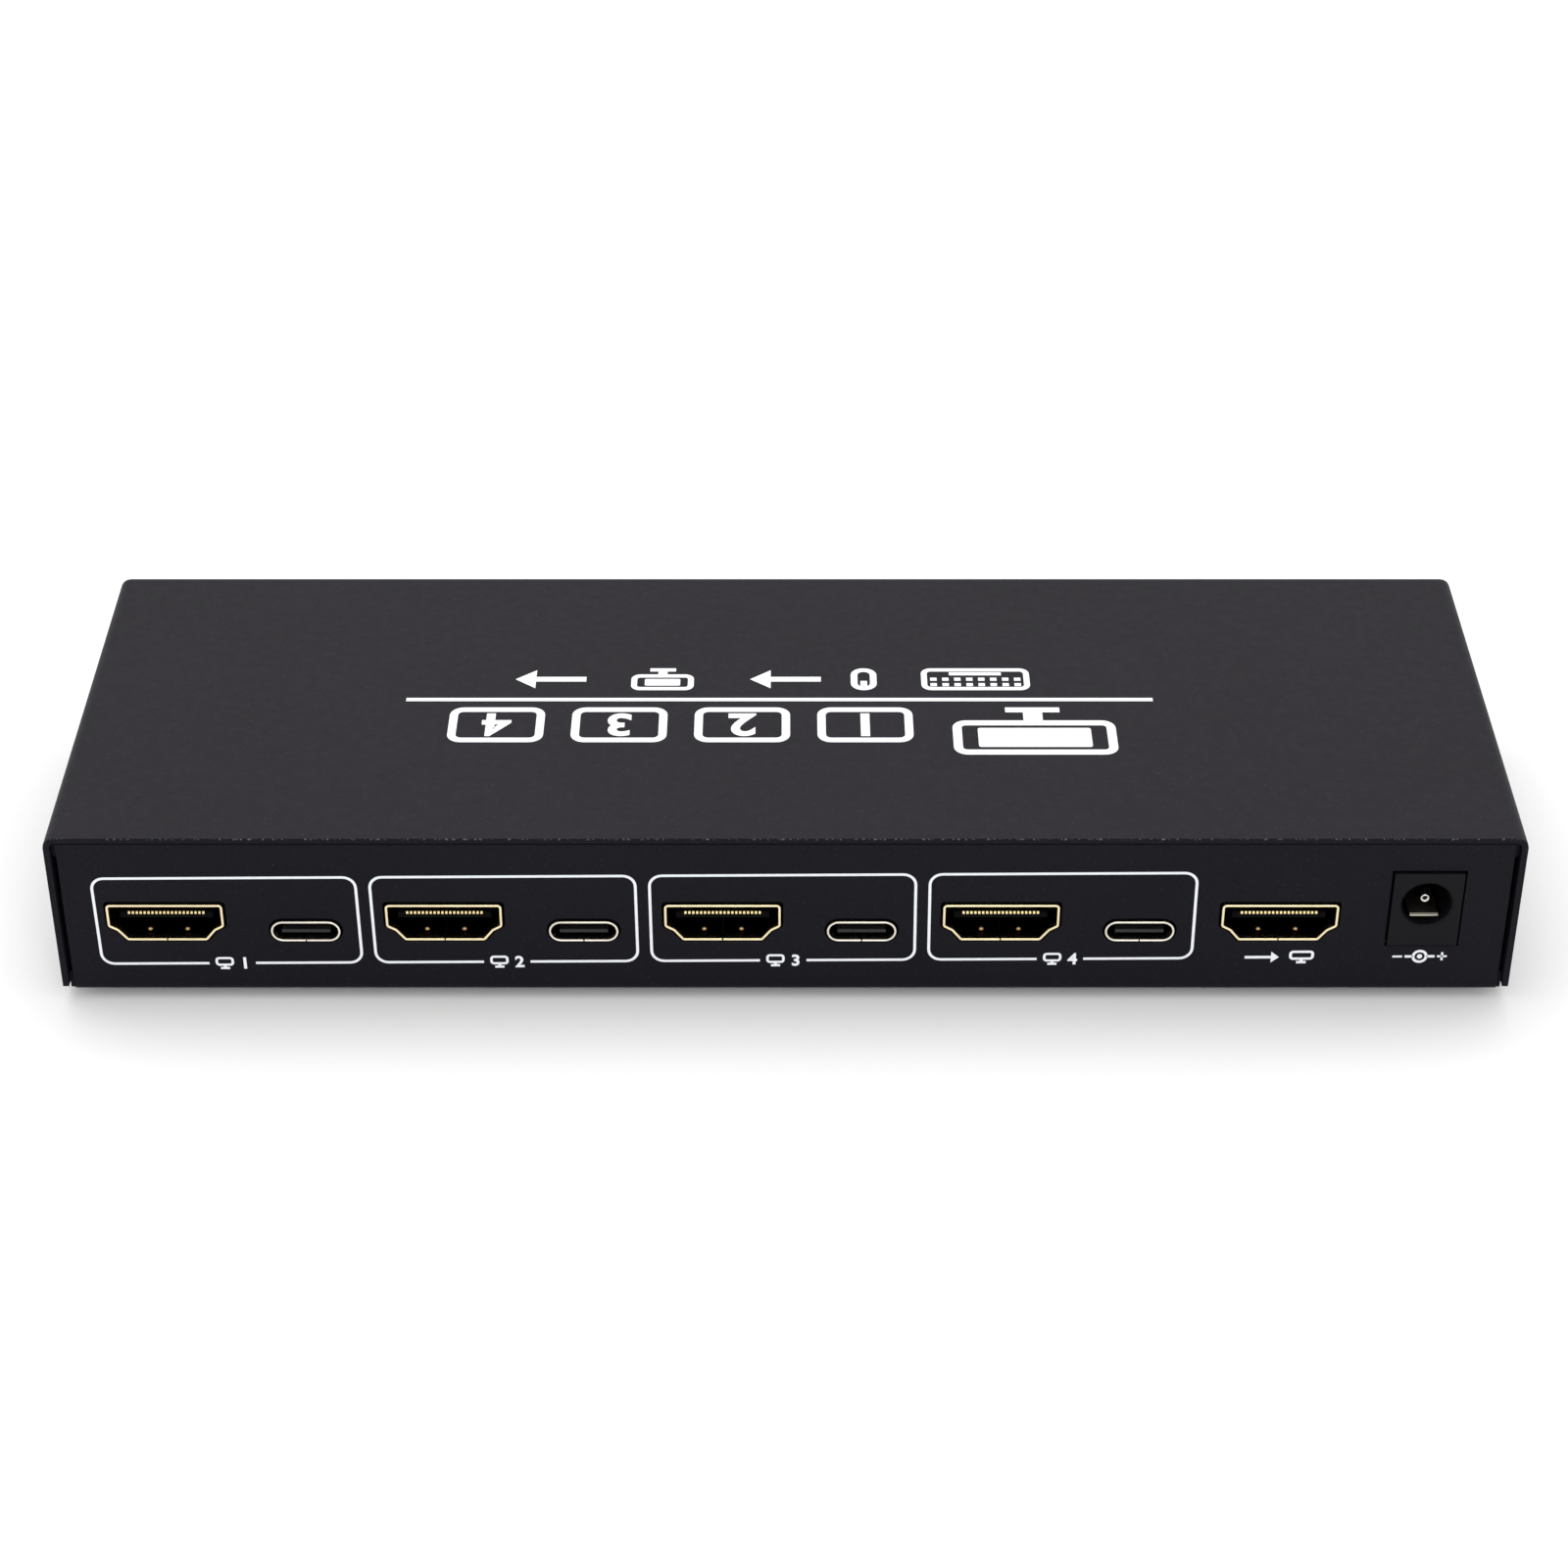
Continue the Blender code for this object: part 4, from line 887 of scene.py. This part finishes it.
def make_buttons():
    """Caps with a dished face, a collar behind the panel and a stem."""
    low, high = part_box("button_cap_1")
    length = high.y - low.y
    cap = 0.003
    shoulder = 0.0028
    collar = (high.z - low.z) / 2
    collar_end = shoulder + 0.0008
    stem = 0.0015
    chamfer = 0.0002
    round_edge = 0.0005
    form = Form()
    profile = [(CENTRE, 0.00022), (0.0012, 0.00017), (0.002, 0.00007)]
    profile += arc(cap - round_edge, round_edge, round_edge, -90, 0)
    profile += [(cap, shoulder), (collar, shoulder), (collar, collar_end), (stem, collar_end)]
    profile += [(stem, length - chamfer), (stem - chamfer, length)]
    form.turned(profile)
    mesh = form.mesh("button_cap")
    for number in range(1, CHANNELS + 1):
        node = f"button_cap_{number}"
        place = middle_of(node)
        place.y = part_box(node)[1].y
        show(f"dished_button_{number}", mesh, [BUTTON_PLASTIC], [node],
             on_wall(BUTTON_SIDE, place), body=f"button_{number}", edge=0.00005)


def make_inside():
    """Pieces behind the panels, on the CAD's own shapes with their edges rounded."""
    looks = {
        "light_pipe": (LAMP, "lamp_plastic", 0.0002),
        "main_board": (BOARD_GREEN, "board_laminate", 0.0001),
        "switch_chip": (CHIP_PLASTIC, "chip_plastic", 0.0001),
        "hub_chip": (CHIP_PLASTIC, "chip_plastic", 0.0001),
        "heat_sink": (ALUMINIUM, "bare_aluminium", 0.0001),
        "crystal": (SCREW_STEEL, "screw_steel", 0.0002),
        "capacitor": (BUTTON_PLASTIC, "button_plastic", 0.0003),
    }
    for number in range(1, 5):
        looks[f"board_standoff_{number}"] = (BRASS, "standoff_brass", 0.0001)
        looks[f"board_screw_{number}"] = (SCREW_STEEL, "screw_steel", 0.0001)
        looks[f"button_switch_{number}"] = (BUTTON_PLASTIC, "button_plastic", 0.0001)
    for node, (finish, slot, edge) in looks.items():
        show(f"{node}_finished", cad_mesh(node), [finish], [node], edge=edge)


# ---------------------------------------------------------------- printing


def ink_band(form, corners, radius, width, gap=None):
    """An inked line around an outline, with a gap in the middle of its last side."""
    half = width / 2
    section = [(half, 0), (half, -INK), (-half, -INK), (-half, 0)]
    form.wall(corners, radius, section, seam=gap)


def ink_patch(form, corners, radius):
    form.prism([tuple(point) for point in outline(corners, radius)], 0, -INK)


def ink_bar(form, width, height, middle):
    form.prism(rectangle(width, height, middle), 0, -INK)


# Each mark below is drawn about its middle, and its details are shares of its size.


def draw_monitor(form, height, middle, line, spread=1.25, lit=0.0):
    """A screen on a stand. With lit it shows a solid picture, that share of the screen's size."""
    x, z = middle
    screen = height * 0.72
    width = height * spread
    top = z + height / 2
    ink_band(form, rectangle(width - line, screen - line, (x, top - screen / 2)), line, line)
    neck = height - screen - line
    ink_bar(form, height * 0.22, neck, (x, z - height / 2 + line + neck / 2))
    ink_bar(form, height * 0.62, line, (x, z - height / 2 + line / 2))
    if lit:
        picture = rectangle(width - line * 2, (screen - line * 2) * lit, (x, top - screen / 2))
        picture = [(x + (u - x) * lit, v) for u, v in picture]
        ink_patch(form, picture, line * 0.3)


def draw_keyboard(form, height, middle, line):
    x, z = middle
    width = height * 2.6
    ink_band(form, rectangle(width - line, height - line, middle), line * 1.2, line)
    pitch = height / 4
    keys = 8
    for row in (1, 0):
        for key in range(keys):
            place = (x + (key - (keys - 1) / 2) * pitch * 1.15, z + pitch * row)
            ink_bar(form, pitch * 0.62, pitch * 0.55, place)
    ink_bar(form, pitch * 5, pitch * 0.55, (x, z - pitch))


def draw_mouse(form, height, middle, line):
    x, z = middle
    width = height * 0.62
    ink_band(form, rectangle(width - line, height - line, middle), (width - line) * 0.49, line)
    ink_bar(form, line, height * 0.24, (x, z + height * 0.2))


def draw_arrow(form, length, height, middle, line):
    """An arrow to the right."""
    x, z = middle
    head = height * 0.6
    ink_bar(form, length - head, line, (x - head / 2, z))
    tip = x + length / 2
    form.prism([(tip - head, z - height / 2), (tip, z), (tip - head, z + height / 2)], 0, -INK)


def draw_polarity(form, width, middle, line):
    """The mark for a barrel plug: minus to the ring, plus to the middle."""
    x, z = middle
    ring = width * 0.12
    ink_band(form, rectangle(ring * 2, ring * 2, middle), ring * 0.98, line)
    ink_patch(form, rectangle(ring * 0.8, ring * 0.8, middle), ring * 0.39)
    for side in (-1, 1):
        ink_bar(form, width * 0.15, line, (x + side * (ring + width * 0.08), z))
        ink_bar(form, width * 0.18, line * 0.8, (x + side * width * 0.41, z))
    ink_bar(form, line * 0.8, width * 0.18, (x + width * 0.41, z))


def make_port_print():
    """A box around each channel's two sockets with its number, and marks for display and power."""
    form = Form()
    left = -0.088
    widths = (0.0335, 0.0337, 0.0338, 0.03385)
    space = 0.0018
    top = 0.0190
    bottom = 0.00572
    x = left
    for number, width in enumerate(widths, 1):
        middle = x + width / 2
        corners = rectangle(width, top - bottom, (middle, (top + bottom) / 2))
        ink_band(form, corners, 0.0016, BOX_LINE, gap=0.006)
        draw_monitor(form, 0.0019, (middle - 0.0010, bottom), line=0.00033)
        form.figures(str(number), 0.0018, (middle + 0.0016, bottom))
        x += width + space
    row = bottom + 0.0001
    draw_arrow(form, length=0.0044, height=0.0017, middle=(0.0613, row), line=0.0004)
    draw_monitor(form, height=0.0020, middle=(0.0664, row), line=BOX_LINE, spread=1.6)
    draw_polarity(form, width=0.0070, middle=(0.0816, row), line=BOX_LINE)
    pivot = Vector((left, -PANEL_FACE, bottom))
    turn = Matrix.Rotation(-PRINT_SKEW, 4, "Y")
    face = Matrix.Translation((0, -PANEL_FACE, 0))
    about = Matrix.Translation(pivot) @ turn @ Matrix.Translation(-pivot)
    show("port_panel_print", form.mesh("port_panel_print"), [SHADED_PANEL_INK],
         place=about @ face)


def make_top_print():
    """A screen and a tile for each channel, a rule, and small marks below. It reads from +Y."""
    form = Form()
    ink_bar(form, width=0.0994, height=0.0008, middle=(0.0008, 0))
    base = 0.0020
    screen = 0.0116
    draw_monitor(form, screen, (-0.0327, base + screen / 2), line=0.0012, spread=1.85, lit=0.78)
    tile_height = 0.0086
    tile_width = 0.0126
    tile_line = 0.0011
    tile_pitch = 0.0162
    for number in range(CHANNELS):
        middle = (-0.0105 + tile_pitch * number, base + tile_height / 2)
        corners = rectangle(tile_width - tile_line, tile_height - tile_line, middle)
        ink_band(form, corners, 0.0013, tile_line)
        form.figures(str(number + 1), 0.0056, middle)
    row = -0.0052
    height = 0.0056
    draw_keyboard(form, height, (-0.0255, row), line=0.0008)
    draw_mouse(form, height, (-0.0105, row), line=0.0009)
    for x in (0.0, 0.0315):
        draw_arrow(form, length=0.0095, height=0.0046, middle=(x, row), line=0.0012)
    draw_monitor(form, height, (0.0165, row), line=0.0008, spread=1.5, lit=0.7)
    # Turned to lie on the top, with its rule 0.45 mm from the middle
    axes = Matrix(((-1, 0, 0, 0), (0, 0, -1, 0.00045), (0, -1, 0, TOP), (0, 0, 0, 1)))
    show("top_print", form.mesh("top_print"), [LIT_TOP_INK], place=axes)


def make_button_print():
    """Numbers under the buttons, and marks under the type A sockets."""
    form = Form()
    row = 0.0059
    line = 0.00026
    for number in range(1, CHANNELS + 1):
        x = middle_of(f"button_cap_{number}").x
        form.figures(str(number), 0.0019, (-x, row))
    ports = [-middle_of(f"type_a_port_shell_{number}").x for number in range(1, TYPE_A_PORTS + 1)]
    draw_keyboard(form, 0.0021, (ports[0], row), line=0.00024)
    draw_mouse(form, 0.0023, (ports[1], row), line)
    ink_band(form, rectangle(0.0032, 0.0013, (ports[2], row)), 0.0002, line)
    place = on_wall(BUTTON_SIDE, (0, PANEL_FACE, 0))
    show("button_panel_print", form.mesh("button_panel_print"), [SHADED_PANEL_INK],
         place=place)


# ---------------------------------------------------------------- stage


def pale_floor(name):
    shader = Shader(name, specular_ior_level=0.2)
    shader.mottle((0.9, 0.9, 0.9), amount=0.004, scale=3)
    shader.roughen(shader.noise(8), 0.85, 0.95)
    return shader.material


def make_stage():
    """A wide pale floor under an even white sky."""
    reach = 4
    form = Form()
    form.box((-reach, -reach, -0.002), (reach, reach, 0))
    floor = bpy.data.objects.new("floor", form.mesh("floor"))
    floor.data.materials.append(pale_floor("pale_floor"))
    bpy.context.scene.collection.objects.link(floor)

    world = bpy.data.worlds.new("studio")
    world.use_nodes = True
    background = world.node_tree.nodes["Background"]
    background.inputs["Color"].default_value = (1, 1, 1, 1)
    background.inputs["Strength"].default_value = 0.95
    bpy.context.scene.world = world
    bpy.context.scene.view_settings.view_transform = "Standard"


def add_light(name, place, width, height, power):
    """A soft rectangular light that faces the origin."""
    light = bpy.data.lights.new(name, "AREA")
    light.shape = "RECTANGLE"
    light.size = width
    light.size_y = height
    light.energy = power
    made = bpy.data.objects.new(name, light)
    made.location = place
    made.rotation_euler = (-Vector(place)).to_track_quat("-Z", "Y").to_euler()
    bpy.context.scene.collection.objects.link(made)


def make_lights():
    add_light("overhead", (-0.1, 0.25, 0.9), width=0.9, height=0.6, power=3.0)
    add_light("front", (0.1, -0.8, 0.55), width=0.5, height=0.25, power=2.0)


def make_camera():
    """A long lens above the -Y side, shifted so that the box sits low in the picture."""
    data = bpy.data.cameras.new("camera")
    data.lens = 80.53
    data.sensor_width = 36
    data.shift_y = 0.125
    data.clip_start = 0.01
    camera = bpy.data.objects.new("camera", data)
    camera.location = (-0.0002, -0.39875, 0.2708)
    camera.rotation_euler = (math.radians(53.84), 0, 0)
    bpy.context.scene.collection.objects.link(camera)
    bpy.context.scene.camera = camera


make_camera()
make_stage()
make_lights()
make_case()
make_feet()
make_cover_screws()
make_video_sockets()
make_type_c_sockets()
make_type_a_sockets()
make_power_jack()
make_buttons()
make_inside()
make_port_print()
make_top_print()
make_button_print()

bpy.context.view_layer.update()
